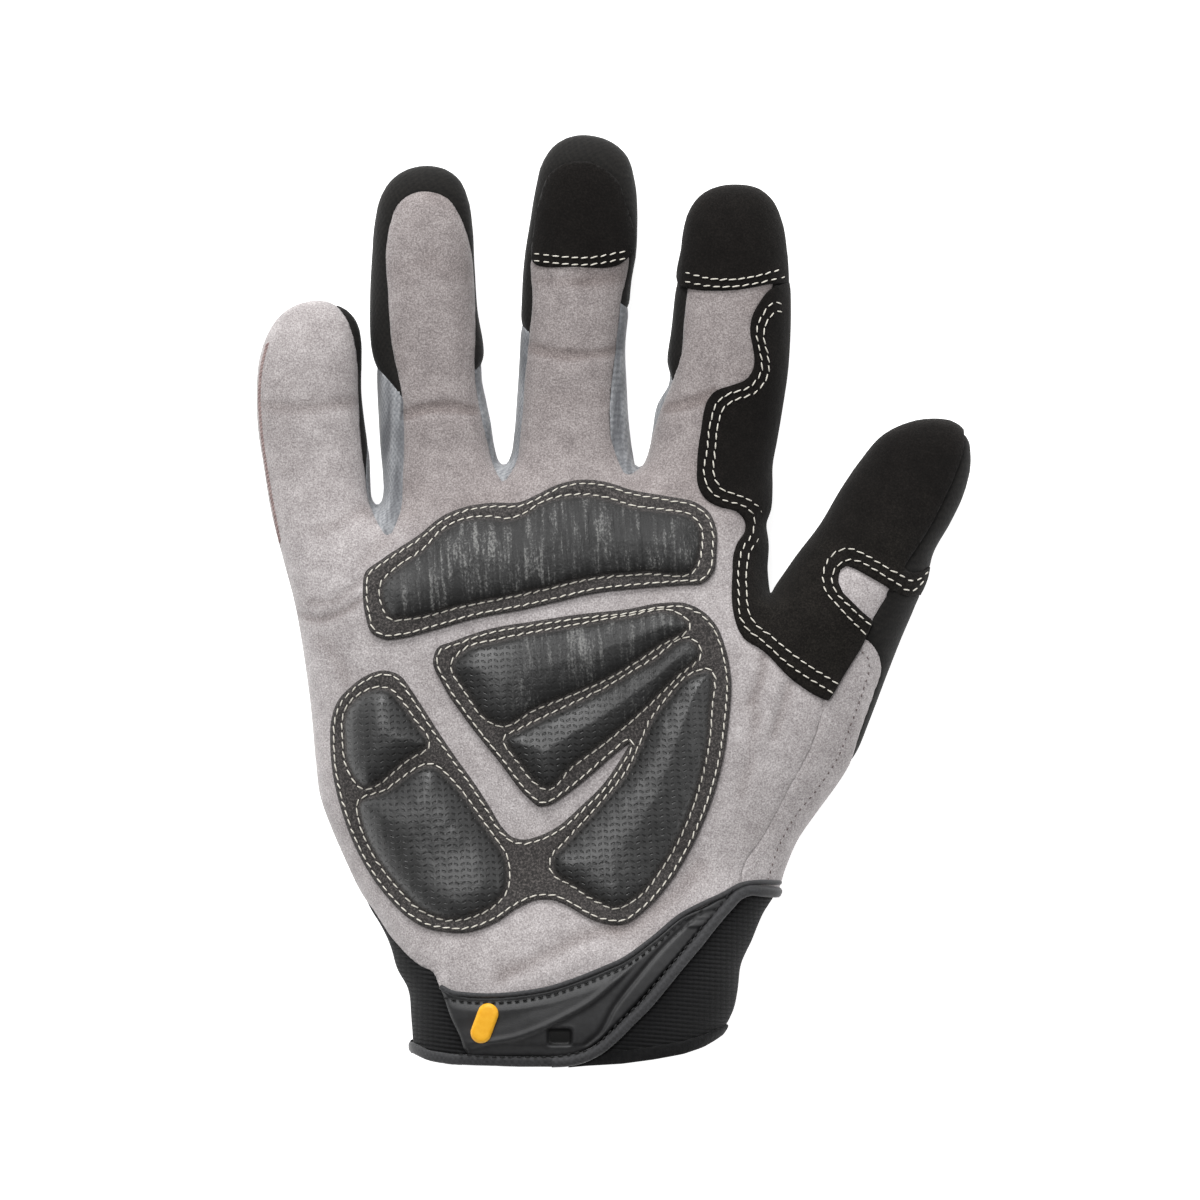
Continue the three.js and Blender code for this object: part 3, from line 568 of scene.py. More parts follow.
SADDLE_LINE = on_glove([
    (810, 284), (788, 282), (770, 290), (758, 305), (751, 320), (750, 333), (753, 349),
    (754, 366), (748, 378), (730, 386), (714, 392), (707, 403), (701, 431), (697, 464),
    (698, 487), (705, 499), (719, 507), (737, 512), (745, 521), (745, 531), (737, 543),
    (733, 555), (732, 571), (733, 614), (737, 628), (744, 639), (760, 649), (792, 680),
    (821, 698), (827, 700), (831, 694), (842, 675), (861, 644), (872, 620), (890, 590),
    (902, 567), (923, 535), (939, 506), (955, 471), (963, 445), (963, 431), (962, 405),
    (930, 395), (880, 400), (830, 450), (806, 490), (800, 400), (812, 340),
])
STRIP_LINE = on_glove([
    (826, 688), (806, 690), (804, 738), (787, 791), (767, 830), (738, 880), (744, 894),
    (788, 890), (800, 850), (849, 768), (861, 729), (874, 692), (881, 668), (877, 653),
    (864, 639), (850, 663),
])
MIDDLE_TIP_LINE = on_glove([
    (534, 262), (575, 267), (622, 262), (632, 250), (624, 202), (618, 183), (603, 169),
    (585, 162), (566, 164), (550, 175), (541, 198), (535, 230),
])
INDEX_TIP_LINE = on_glove([
    (682, 286), (698, 290), (716, 291), (738, 290), (770, 284), (796, 280), (810, 250),
    (800, 200), (772, 176), (738, 168), (706, 176), (690, 204), (683, 245),
])
WEB_LINES = {
    "fourchette_little_ring": on_glove([
        (372, 366), (380, 373), (392, 386), (402, 400), (403, 423), (402, 476), (398, 520),
        (388, 538), (378, 524), (370, 500), (369, 440)]),
    "fourchette_ring_middle": on_glove([
        (476, 372), (484, 420), (494, 462), (503, 481), (512, 466), (519, 430), (524, 380),
        (528, 334), (516, 322), (504, 380), (490, 360)]),
    "fourchette_middle_index": on_glove([
        (622, 304), (617, 350), (612, 406), (613, 441), (620, 460), (630, 475), (640, 466),
        (651, 433), (660, 404), (670, 378), (662, 366), (640, 366), (634, 310)]),
}
WINDOW_LINE = on_glove([
    (846, 566), (856, 570), (879, 583), (891, 590), (882, 605), (872, 621), (860, 611),
    (842, 593), (837, 581), (839, 570)])
STRAP_LINE = on_glove([
    (885, 558), (897, 566), (914, 573), (932, 566), (945, 562), (938, 600), (925, 594),
    (910, 597), (892, 590), (878, 582)])
STRIP_EDGE = on_glove([
    (864, 639), (877, 652), (880, 668), (874, 692), (861, 729), (848, 762), (825, 797),
    (804, 823), (788, 853), (779, 882)])
ARC_LINE = on_glove([
    (434, 966), (444, 987), (466, 991), (488, 992), (518, 990), (548, 985), (579, 975),
    (606, 964), (620, 958), (652, 936), (682, 912), (704, 904), (728, 900)])
HEM_LINE = on_glove([
    (340, 1040), (400, 1047), (413, 1052), (430, 1059), (453, 1062), (487, 1063), (518, 1064),
    (564, 1064), (586, 1062), (621, 1060), (652, 1056), (682, 1051), (702, 1045), (713, 1040),
    (724, 1035), (740, 1029), (780, 1018)])
SIDE_SEAM = 2.0        # mm from the middle surface down to the side seam
WALL_DEEPER = 3        # the fingers' side walls and the strap run further down than the seam
MIDDLE_TIP_HIGHER, INDEX_TIP_HIGHER = 3, 2
WINDOW_LAP, RUBBER_INSET = 3, 1.2


def within(line):
    """Signed distance of the skin's points to a closed, smooth seam line."""
    return signed(smooth_line(line, closed=True, step=1.2), sx, sy)


def all_of(*parts):
    """Field of what lies inside every part: the greatest of their values."""
    return np.max(parts, axis=0)


sx, sy, sz = skin.T
side = middle_surface(sx, sy) - SIDE_SEAM - sz
hem = np.interp(sx, HEM_LINE[:, 0], HEM_LINE[:, 1]) - sy
left_rib = on_glove([(330, 870), (361, 898), (393, 940), (421, 963), (434, 967), (441, 983),
                     (445, 994), (452, 1014), (461, 1033), (466, 1048), (470, 1120),
                     (300, 1120), (300, 900)])
right_rib = on_glove([(742, 884), (800, 880), (830, 900), (830, 1120), (520, 1120),
                      (569, 1062), (614, 1025), (659, 976), (705, 924)])
rubber = on_glove([(434, 967), (466, 991), (518, 990), (579, 975), (620, 958), (652, 936),
                   (682, 912), (704, 904), (731, 893), (705, 924), (659, 976), (614, 1025),
                   (574, 1052), (530, 1054), (480, 1054), (466, 1048), (452, 1014)])
window = signed(resample(np.vstack([WINDOW_LINE, WINDOW_LINE[:1]]), 0.8, True), sx, sy)
saddle, strap = within(SADDLE_LINE), within(STRAP_LINE)
patch_and_strap = np.minimum(all_of(saddle, side), all_of(strap, side - WALL_DEEPER))
grey_and_window = np.minimum(within(GREY_LINE), all_of(window - WINDOW_LAP, saddle))
fields = {
    "saddle_patch": all_of(patch_and_strap, -window),
    "middle_tip_patch": all_of(within(MIDDLE_TIP_LINE), side + MIDDLE_TIP_HIGHER),
    "index_tip_patch": all_of(within(INDEX_TIP_LINE), side + INDEX_TIP_HIGHER),
    "palm_panel": all_of(grey_and_window, side),
    "cuff_rubber_panel": all_of(signed(rubber, sx, sy) + RUBBER_INSET, side, hem),
    "thumb_side_strip": all_of(within(STRIP_LINE), side),
    "cuff_rib_left": all_of(signed(left_rib, sx, sy), side, hem),
    "cuff_rib_right": all_of(signed(right_rib, sx, sy), side, hem),
}
for name, line in WEB_LINES.items():
    fields[name] = all_of(within(line), side - WALL_DEEPER)
fields["back_panel"] = hem

# %% [markdown]
# Panels overlap at a seam: the upper one ends at its line and the lower one runs on for a little
# over a millimetre below it. The ribs run on for more than four, because the rubber over them is
# stiff and stands up. The cover of a panel is the nearest edge of all panels of the levels above.

# %% Seam allowances
LEVELS = [["saddle_patch", "middle_tip_patch", "index_tip_patch"],
          ["palm_panel", "cuff_rubber_panel"],
          ["thumb_side_strip"] + list(WEB_LINES) + ["cuff_rib_left", "cuff_rib_right"],
          ["back_panel"]]
ALLOWANCE = 1.3
RIB_ALLOWANCE = 4.5
NO_COVER = 99.0
cover = {}
above = np.full(len(skin), NO_COVER)
for level in LEVELS:
    for name in level:
        cover[name] = above
        own = fields[name]
        under = RIB_ALLOWANCE if "rib" in name else ALLOWANCE
        if level is not LEVELS[0] and name != "palm_panel":
            own = np.minimum(own, np.maximum(own - under, np.maximum(above, hem)))
            own = np.maximum(own, -above - under)
        fields[name] = own
    above = np.minimum(above, np.min([fields[name] for name in level], axis=0))
for name, field in fields.items():
    print(name, int((field < 0).sum()), "skin points")

# %% [markdown]
# Finishes. Each one is named for the real stuff and built from noise in real millimetres, so that
# the nap of the suede or the ribs of the knit stay the right size when the glove is seen closer.
# Colours are read as screen colours and turned to linear light once, in one function.

# %% Material helpers


def colour(code):
    """'#rrggbb' as linear light: c / 12.92 below 0.04045, else ((c + 0.055) / 1.055) ^ 2.4."""
    parts = [int(code[k:k + 2], 16) / 255 for k in (1, 3, 5)]
    return [c / 12.92 if c <= 0.04045 else ((c + 0.055) / 1.055) ** 2.4 for c in parts] + [1.0]


def add(tree, kind, inputs=None, **settings):
    """One shader node. A value that is an output socket is linked, any other is set."""
    node = tree.nodes.new("ShaderNode" + kind)
    for key, value in settings.items():
        setattr(node, key, value)
    for key, value in (inputs or {}).items():
        if isinstance(value, bpy.types.NodeSocket):
            tree.links.new(value, node.inputs[key])
        else:
            node.inputs[key].default_value = value
    return node


def new_finish(name, **values):
    """A material with one Principled node; values are socket names with _ for a space."""
    material = bpy.data.materials.new(name)
    material.use_nodes = True
    tree = material.node_tree
    tree.nodes.clear()
    shade = add(tree, "BsdfPrincipled", {k.replace("_", " "): v for k, v in values.items()})
    out = add(tree, "OutputMaterial", {"Surface": shade.outputs[0]})
    place = add(tree, "TexCoord").outputs["Object"]
    return material, tree, shade, place


def noise(tree, place, size_mm, detail=3, rough=0.55, stretch=(1, 1, 1), turn=0):
    """Noise with cells of a size in millimetres, stretched and turned (degrees) if asked."""
    at = add(tree, "Mapping", {"Vector": place, "Scale": stretch,
                               "Rotation": (0, 0, math.radians(turn))}, vector_type="TEXTURE")
    node = add(tree, "TexNoise", {"Vector": at.outputs[0], "Scale": 1000 / size_mm,
                                  "Detail": detail, "Roughness": rough})
    return node.outputs["Fac"]


def ramp(tree, fac, stops):
    """A colour or value ramp from a list of (place, '#rrggbb' or grey value)."""
    node = add(tree, "ValToRGB", {"Fac": fac})
    marks = node.color_ramp.elements
    while len(marks) < len(stops):
        marks.new(0.5)
    for mark, (at, value) in zip(marks, stops):
        mark.position = at
        mark.color = colour(value) if isinstance(value, str) else (value, value, value, 1)
    return node.outputs["Color"]


def bump(tree, height, size_mm, strength=1.0, under=None):
    """Bump whose height of 1 stands for a real height in millimetres."""
    inputs = {"Height": height, "Distance": size_mm * MM, "Strength": strength}
    if under is not None:
        inputs["Normal"] = under
    return add(tree, "Bump", inputs).outputs[0]


def calc(tree, operation, *values):
    """One math node; its inputs are numbers or sockets."""
    return add(tree, "Math", dict(enumerate(values)), operation=operation).outputs[0]


def mix(tree, share, first, second):
    """Blend of two colours by a share."""
    return add(tree, "Mix", {"Factor": share, "A": first, "B": second},
               data_type="RGBA").outputs["Result"]


def attribute(tree, name):
    """A value stored on the mesh's points."""
    return add(tree, "Attribute", attribute_name=name).outputs["Fac"]


# %% [markdown]
# Suede: sanded leather, so it is dull with a faint bright edge where the nap stands up. Large,
# weak blotches show where the nap lies another way, and a fine grain of under half a millimetre
# gives the felted look.

# %% Suede finishes


def suede(name, tones, fold_shade_tones, sheen=0.2, nap=0.12, blotch=5):
    """Blotches of the nap times fine grain in the colour, and the grain again as bump. Where 'fold'
    is stored on the points, in the folds and over the fingers, the colour turns to the second,
    darker row of tones: painted shade. The tones are those of the grain's hollows, its middle and its
    tips."""
    material, tree, shade, place = new_finish(name, Roughness=0.95, Sheen_Weight=sheen,
                                              Sheen_Roughness=0.5, Specular_IOR_Level=0.12)
    broad = noise(tree, place, blotch, 4, 0.6)
    fine = noise(tree, place, 0.42, 3, 0.7)
    both = calc(tree, "MULTIPLY_ADD", fine, 0.78, calc(tree, "MULTIPLY", broad, 0.22))
    # The second row of tones is painted shade, mixed in by 'fold'.
    free, pressed = [ramp(tree, both, list(zip((0.36, 0.5, 0.64), row)))
                     for row in (tones, fold_shade_tones)]
    tree.links.new(mix(tree, attribute(tree, "fold"), free, pressed), shade.inputs["Base Color"])
    first = bump(tree, fine, nap)
    tree.links.new(bump(tree, noise(tree, place, 2.4, 3), 0.2, under=first),
                   shade.inputs["Normal"])
    return material


# The second, darker row of tones of each suede is the painted shade of its folds and fingers.
GREY_SUEDE = suede("grey split suede", ("#8a8484", "#aca6a6", "#cec9c9"),
                   ("#655d5c", "#827977", "#a19896"))
BLACK_SUEDE = suede("black reinforcing suede", ("#0e0c0b", "#1a1816", "#292623"),
                    ("#0c0a09", "#100e0d", "#181514"), sheen=0.05, nap=0.14)
print("suede", GREY_SUEDE.name, "and", BLACK_SUEDE.name)

# %% [markdown]
# Knits. The back is a stretch fabric with a fine twill, the cuff and the thumb's side are ribbed.
# The ribs follow a length that is stored on each panel's points, so they bend with the panel.

# %% Fabric finishes
BEADS_PER_METRE = 2300.0   # as an angle in radians
WAVE_PER_METRE = 314.16    # scale of a wave texture with bands one millimetre wide, nearly


def woven(name, dark, light, thread_mm, rough=0.85, height=0.12, sheen=0.15, pleat_and_shade=0.0):
    """Fleck the size of a thread as tone and bump, crossed by two weak bands at its pitch. The last
    value is the share of soft pleats that run along the fingers, as bump and as painted shade in
    their hollows."""
    material, tree, shade, place = new_finish(name, Roughness=rough, Sheen_Weight=sheen,
                                              Sheen_Roughness=0.4, Specular_IOR_Level=0.3)
    cloth = noise(tree, place, thread_mm, 2, 0.6)
    for mirror in (1, -1):
        at = add(tree, "Mapping", {"Vector": place, "Scale": (1, mirror, 1)}).outputs[0]
        band = add(tree, "TexWave", {"Vector": at, "Scale": WAVE_PER_METRE / thread_mm / 1.7},
                   bands_direction="DIAGONAL").outputs["Fac"]
        cloth = calc(tree, "MULTIPLY_ADD", band, 0.16, cloth)
    tone = ramp(tree, cloth, [(0.42, dark), (0.9, light)])
    pleat = noise(tree, place, 3.2, 2, 0.5, (1, 7, 3), -4)
    if pleat_and_shade:
        # Painted shade: the tone darkens towards a dark grey in the hollows of the pleats.
        shadow = ramp(tree, pleat, [(0.42, pleat_and_shade), (0.6, 0.0)])
        tone = mix(tree, shadow, tone, colour("#43454a"))
    tree.links.new(tone, shade.inputs["Base Color"])
    folds_too = bump(tree, pleat, 2.5 * pleat_and_shade) if pleat_and_shade else None
    tree.links.new(bump(tree, cloth, height, under=folds_too), shade.inputs["Normal"])
    return material


def ribbed(name, dark, light, pitch_mm, height=0.45):
    """Ribs: |sin| of the stored length over the pitch, with a little noise and with beads along
    each rib, as bump and as tone: darker in the grooves and lighter on the crests, painted shade and
    painted highlight."""
    material, tree, shade, place = new_finish(name, Roughness=0.9, Sheen_Weight=0.05,
                                              Specular_IOR_Level=0.2)
    turn = calc(tree, "MULTIPLY", attribute(tree, "rib"), math.pi / pitch_mm)
    wobble = calc(tree, "MULTIPLY_ADD", noise(tree, place, 1.2), 0.9, turn)
    crest = calc(tree, "ABSOLUTE", calc(tree, "SINE", wobble))
    across = add(tree, "SeparateXYZ", {0: place}).outputs["X"]
    bead = calc(tree, "ABSOLUTE", calc(tree, "SINE", calc(tree, "MULTIPLY", across, BEADS_PER_METRE)))
    crest = calc(tree, "MULTIPLY", crest, calc(tree, "MULTIPLY_ADD", bead, 0.2, 0.8))
    # The tone follows the crests: painted shade in the grooves, painted highlight on the crests.
    tree.links.new(ramp(tree, crest, [(0.05, dark), (0.85, light)]), shade.inputs["Base Color"])
    fine = bump(tree, noise(tree, place, 0.4), 0.1)
    tree.links.new(bump(tree, crest, height, under=fine), shade.inputs["Normal"])
    return material


STRETCH = woven("black stretch twill", "#0a0908", "#1a1816", 0.6, height=0.1, sheen=0.05)
SIDE_FABRIC = woven("blue-grey side fabric", "#7a7c80", "#a9abae", 0.5, rough=0.6, height=0.06,
                    pleat_and_shade=0.6)
RIB_KNIT = ribbed("black ribbed knit", "#060607", "#1f1f20", 1.1)
TAPE = woven("grey binding tape", "#303031", "#404042", 0.5, rough=0.7, height=0.06)
print("fabrics", STRETCH.name, SIDE_FABRIC.name, RIB_KNIT.name, TAPE.name)

# %% [markdown]
# Pad leather is a dark synthetic with small embossed dashes in staggered rows. It is smoother
# than suede, so the light from above draws a soft shine along each crowned cell. The pad's flat
# border is a speckled fabric, told apart from the leather by a value stored on the points.

# %% Pad, rubber and thread finishes


DASH_PITCH = 1.56


def dashes(tree, place):
    """1 in short slanted dashes and 0 between them: rows that zigzag by 0.45 of the pitch, cut
    off near the border of every column."""
    at = add(tree, "Mapping", {"Vector": place, "Scale": [1000 / DASH_PITCH] * 3,
                               "Rotation": (0, 0, math.radians(-3))})
    parts = add(tree, "SeparateXYZ", {0: at.outputs[0]}).outputs
    row = calc(tree, "MULTIPLY_ADD", calc(tree, "PINGPONG", parts["X"], 1.0), 0.45, parts["Y"])
    away = [calc(tree, "ABSOLUTE", calc(tree, "SUBTRACT", calc(tree, "FRACT", value), 0.5))
            for value in (row, parts["X"])]
    shares = [add(tree, "MapRange", {"Value": value, "From Min": low, "From Max": high,
                                     "To Min": 1.0, "To Max": 0.0},
                  interpolation_type="SMOOTHSTEP").outputs[0]
              for value, low, high in ((away[0], 0.08, 0.2), (away[1], 0.2, 0.33))]
    return calc(tree, "MULTIPLY", *shares)


def pad_leather():
    """Embossed leather inside the cells, with painted shade in its pressed-in dashes, speckled suede
    on the border, mixed by 'quilted'. Where 'gather' is stored, the leather is drawn into fine
    streaks, as bump and as colour: painted highlights on the streaks and painted shade between them."""
    material, tree, shade, place = new_finish("embossed pad leather", IOR=1.55,
                                              Specular_IOR_Level=0.6)
    quilted, gather = attribute(tree, "quilted"), attribute(tree, "gather")
    dash = calc(tree, "MULTIPLY", dashes(tree, place), calc(tree, "SUBTRACT", 1.0, gather))
    dash = calc(tree, "MULTIPLY", dash, quilted)
    grain = noise(tree, place, 0.4, 2)
    patchy = noise(tree, place, 5.0, 2, 0.5, (1, 3, 3))
    streak = noise(tree, place, 1.0, 3, 0.6, (1, 12, 12), 4)
    streak = calc(tree, "MULTIPLY", streak, 0.4)
    streak = calc(tree, "MULTIPLY_ADD", noise(tree, place, 0.5, 2, 0.7, (1, 1.6, 1)), 0.32, streak)
    streak = calc(tree, "MULTIPLY_ADD", patchy, 0.28, streak)
    leather = ramp(tree, noise(tree, place, 2.2, 4), [(0.3, "#212121"), (0.7, "#303030")])
    # Painted shade: the pressed-in dashes are coloured darker.
    leather = mix(tree, dash, leather, colour("#101010"))
    # Painted highlights on the streaks and painted shade between them.
    drawn = ramp(tree, streak, [(0.47, "#111111"), (0.54, "#2e2e2e"), (0.64, "#828280")])
    leather = mix(tree, gather, leather, drawn)
    speck = ramp(tree, noise(tree, place, 0.55, 3, 0.8),
                 [(0.36, "#191716"), (0.5, "#312e2d"), (0.64, "#5c5755")])
    tree.links.new(mix(tree, quilted, speck, leather), shade.inputs["Base Color"])
    rough = add(tree, "MapRange", {"Value": quilted, "To Min": 0.95, "To Max": 0.46})
    rough = calc(tree, "MULTIPLY_ADD", gather, 0.2, rough.outputs[0])
    tree.links.new(rough, shade.inputs["Roughness"])
    pressed = calc(tree, "MULTIPLY", dash, -1.0)
    pleat = calc(tree, "MULTIPLY", streak, gather)
    height = bump(tree, grain, 0.08)
    height = bump(tree, pleat, 0.9, under=height)
    tree.links.new(bump(tree, pressed, 0.2, under=height), shade.inputs["Normal"])
    return material


def moulded(name, dark, light, rough=0.5):
    """Moulded rubber: nearly even colour with a fine matt grain, and black where a value stored on
    the points marks the floor of a slot: the black fabric under it and painted shade in its depth."""
    material, tree, shade, place = new_finish(name, Roughness=rough, Specular_IOR_Level=0.4)
    tone = ramp(tree, noise(tree, place, 1.5), [(0.3, dark), (0.7, light)])
    tree.links.new(mix(tree, attribute(tree, "slot_fabric_and_shade"), tone, colour("#050505")),
                   shade.inputs["Base Color"])
    tree.links.new(bump(tree, noise(tree, place, 0.3, 2), 0.04), shade.inputs["Normal"])
    return material


PAD_LEATHER = pad_leather()
RUBBER = moulded("matt moulded rubber", "#262627", "#2e2e2f", 0.5)
YELLOW = moulded("yellow moulded rubber", "#f2ac1c", "#fabb2f", 0.45)
THREAD = moulded("off-white sewing thread", "#cfcabe", "#e2ded4", 0.7)
SEAM_THREAD = moulded("dusty pink overlock thread", "#84716f", "#a3918e", 0.8)
BLACK_THREAD = moulded("black sewing thread", "#0c0c0d", "#161617", 0.7)
BROWN_THREAD = moulded("grey-brown sewing thread", "#5b504e", "#6f6462", 0.8)
print("pad", PAD_LEATHER.name, "rubber", RUBBER.name)

# %% [markdown]
# The sewn panels. A glove cutter cuts each one flat; here each is a part of the filled skin with
# 1.4 mm of thickness inwards. Sewn edges dip half a millimetre into the seam. The three suede
# patches lie on top and stand out by almost a millimetre, so that their cut edge throws a fine
# shadow, as on the photograph.

# %% Sewn panels
WALL = 1.4
TABLE_GAP = 0.3                     # the inner side of a panel stays this far over the table
SEAM_DIP, SEAM_WIDTH = 0.55, 1.1    # how deep a sewn edge lies, and how fast that fades
PATCH_LIFT, TIP_LIFT = 0.85, 0.7
EDGE_ROLL, STRAP_DROP = 0.3, 0.45   # a patch is lower at its edge, the saddle's strap as a whole
LAP_DROP = 0.5                      # a panel drops where it runs on under another
STRIP_HEM = 0.4                     # the folded edge of the thumb's strip stands up
RIB_SLANT = 0.1
PANELS = {
    "palm_panel": (GREY_SUEDE, "grey_suede", 0.0),
    "saddle_patch": (BLACK_SUEDE, "black_suede", PATCH_LIFT),
    "thumb_side_strip": (GREY_SUEDE, "grey_suede", 0.0),
    "middle_tip_patch": (BLACK_SUEDE, "black_suede", TIP_LIFT),
    "index_tip_patch": (BLACK_SUEDE, "black_suede", TIP_LIFT),
    "fourchette_little_ring": (SIDE_FABRIC, "side_fabric", 0.0),
    "fourchette_ring_middle": (SIDE_FABRIC, "side_fabric", 0.0),
    "fourchette_middle_index": (SIDE_FABRIC, "side_fabric", 0.0),
    "cuff_rib_left": (RIB_KNIT, "rib_knit", 0.0),
    "cuff_rib_right": (RIB_KNIT, "rib_knit", 0.0),
    "back_panel": (STRETCH, "stretch_fabric", 0.0),
}
# Painted shade lies in the folds. The fingers have some painted shade all over, the little one least.
painted_fold_shade = np.clip(-cubic(fold_height, sx, sy) / 0.9, 0, 1)
painted_fold_shade = upper * (painted_fold_shade + ease(4, 30, sy) * (0.2 + 0.45 * ease(-64, -52, sx)))
strip_edge = distance_to(smooth_line(STRIP_EDGE, step=1.0), sx, sy)
for name, (finish, slot, lift) in PANELS.items():
    own, under = fields[name], cover[name]
    offset = np.full(len(skin), lift)
    if lift > 0:
        offset -= EDGE_ROLL * np.exp(-np.abs(own))
        if name == "saddle_patch":
            offset -= STRAP_DROP * ease(0, 2, saddle)
    elif name == "palm_panel":
        seam = np.exp(-np.abs(own) / SEAM_WIDTH)
        offset -= SEAM_DIP * seam * ease(0.2, 2.2, fields["cuff_rubber_panel"])
    else:
        seam = np.exp(-np.minimum(np.abs(under), np.abs(own)) / SEAM_WIDTH)
        seam *= ease(1.0, 3.0, np.abs(strap))
        offset -= SEAM_DIP * seam + LAP_DROP * ease(0.1, -0.5, under)
    if name == "thumb_side_strip":
        offset += STRIP_HEM * (1 - ease(2.0, 2.6, strip_edge))
    extra = np.column_stack([skin_normals, offset, painted_fold_shade])
    points, triangles, carried = clip(skin, skin_triangles, own, extra)
    normals, offset, fold = carried[:, :3], carried[:, 3:4], carried[:, 4]
    outer = points + normals * offset
    inner = points - normals * WALL
    inner[:, 2] = np.maximum(inner[:, 2], TABLE_GAP)
    outer, triangles = thicken(outer, triangles, inner)
    # 'fold' carries the painted shade of the folds and fingers to the suede.
    values = {"rib": outer[:, 1] + RIB_SLANT * outer[:, 0], "fold": np.tile(fold, 2)}
    make_piece(name + "_cloth", outer, triangles, name, finish, values)

# %% [markdown]
# The pads. Each is a leather cover sewn down round foam cells, so the foam pushes the leather up
# into cushions and the seams hold it down in channels. A cell rises from its edge as a quarter
# ellipse and then goes on rising a little to its middle. The cells are made by this formula on a
# fine grid and not by a cloth simulation, because a cell is only 3 to 5 mm high and tight, and a
# simulation would change little but its wrinkles, which are added as small folds. Each cell has a
# share of gathers, with the places in mm from left to right between which they set in. The
# outlines and cells are measured on the photograph.

# %% Pad lines
KNUCKLE_LINE = on_glove([
    (364, 590), (366, 573), (382, 560), (421, 534), (442, 517), (466, 507), (492, 503),
    (521, 502), (539, 494), (555, 486), (581, 480), (605, 482), (631, 490), (670, 497),
    (696, 503), (709, 513), (716, 530), (716, 551), (713, 572), (703, 583), (683, 585),
    (644, 588), (591, 594), (565, 600), (526, 609), (474, 619), (435, 630), (403, 638),
    (385, 639), (373, 633), (367, 617)])
KNUCKLE_CELLS = [on_glove([
    (385, 585), (396, 573), (428, 550), (444, 533), (463, 523), (487, 520), (510, 522),
    (523, 518), (547, 504), (581, 498), (605, 501), (631, 509), (668, 514), (690, 519),
    (697, 528), (698, 549), (693, 567), (644, 571), (591, 576), (539, 588), (461, 604),
    (408, 616), (393, 616), (386, 604)])]
PALM_LINE = on_glove([
    (434, 660), (438, 648), (454, 641), (489, 629), (535, 621), (581, 614), (627, 609),
    (661, 603), (684, 603), (702, 611), (716, 626), (725, 649), (730, 676), (728, 718),
    (721, 764), (709, 805), (691, 846), (668, 883), (645, 908), (622, 922), (611, 922),
    (590, 916), (569, 904), (551, 897), (535, 898), (519, 905), (496, 920), (466, 930),
    (443, 929), (431, 927), (409, 916), (390, 898), (370, 872), (353, 840), (342, 809),
    (334, 776), (331, 742), (332, 720), (338, 702), (351, 687), (366, 676), (385, 670),
    (401, 675), (412, 689), (424, 707), (438, 729), (457, 757), (473, 779), (490, 805),
    (503, 826), (512, 835), (523, 838), (538, 835), (555, 827), (581, 805), (604, 782),
    (618, 762), (629, 742), (615, 753), (599, 767), (567, 793), (549, 804), (539, 805),
    (530, 798), (500, 761), (466, 718), (443, 683)])
PALM_CELLS = [
    on_glove([(456, 662), (466, 652), (500, 642), (535, 635), (580, 627), (627, 619),
              (676, 616), (686, 624), (660, 642), (604, 677), (570, 692), (535, 706),
              (500, 722), (488, 716), (470, 692)]),
    on_glove([(508, 738), (521, 731), (560, 712), (604, 691), (650, 664), (692, 643),
              (697, 650), (675, 674), (648, 701), (604, 739), (569, 765), (546, 785),
              (537, 779), (520, 758)]),
    on_glove([(707, 672), (708, 709), (704, 750), (695, 787), (679, 830), (659, 865),
              (638, 891), (614, 903), (597, 896), (572, 880), (555, 869), (554, 858),
              (566, 844), (604, 802), (629, 771), (642, 745), (652, 722), (669, 699),
              (690, 677)]),
    on_glove([(347, 735), (347, 719), (352, 706), (363, 696), (378, 690), (391, 692),
              (399, 700), (413, 720), (427, 744), (410, 755), (362, 783), (352, 768)]),
    on_glove([(362, 803), (385, 793), (437, 768), (447, 777), (466, 799), (481, 821),
              (496, 842), (505, 857), (507, 872), (505, 887), (497, 898), (477, 910),
              (449, 915), (424, 906), (400, 883), (377, 852), (364, 821)]),
]

# %% [markdown]
# A pad is a sheet of grid squares, cut along the pad's outline and closed below. Its top is the
# glove's front plus a border of 1.5 mm with a rounded edge, a shallow channel where the border
# meets a cell, and the cell's cushion.

# %% Pad builder
PAD_STEP = 0.42
BORDER = 1.5
CELL_RISE = 4.6
CELL_ROUND = 5.6
CHANNEL = 0.5
EDGE_ROUND = 0.9


def cushion(inside):
    """Two thirds of the rise by a quarter circle along the edge, the rest by a slow crown."""
    return CELL_RISE * (0.68 * rounded(inside, CELL_ROUND) + 0.32 * (1 - bell(inside, 0, 6)))


def pad_relief(x, y, outline_line, cells, gathers, seed):
    """Height over the front, how far each place belongs to the cells, and its gathers."""
    edge = -signed(outline_line, x, y)
    relief = BORDER * (0.35 + 0.65 * rounded(edge, EDGE_ROUND))
    relief += 0.09 * soft_noise(x, y, 0.8, 0.8, seed + 1)
    relief -= 0.3 * bell(edge, 1.05, 0.4)
    quilted, gathered = np.zeros(x.shape), np.zeros(x.shape)
    for cell, (share, left, right) in zip(cells, gathers):
        drawn = share * ease(left, right, x)
        inside = -signed(cell, x, y)
        relief -= CHANNEL * bell(inside, -0.75, 0.55)
        wrinkle = soft_noise(x + 0.09 * y, y, 1.8, 9.0, seed + 2)
        relief += cushion(np.maximum(inside, 0)) + 0.3 * wrinkle * drawn * ease(0.2, 2.0, inside)
        relief += 0.1 * ease(0, 1.5, inside) * soft_noise(x, y, 3.0, 4.0, seed + 3)
        here = ease(-0.15, 0.25, inside)
        quilted, gathered = np.maximum(quilted, here), np.maximum(gathered, drawn * here)
    return relief, {"quilted": quilted, "gather": gathered}


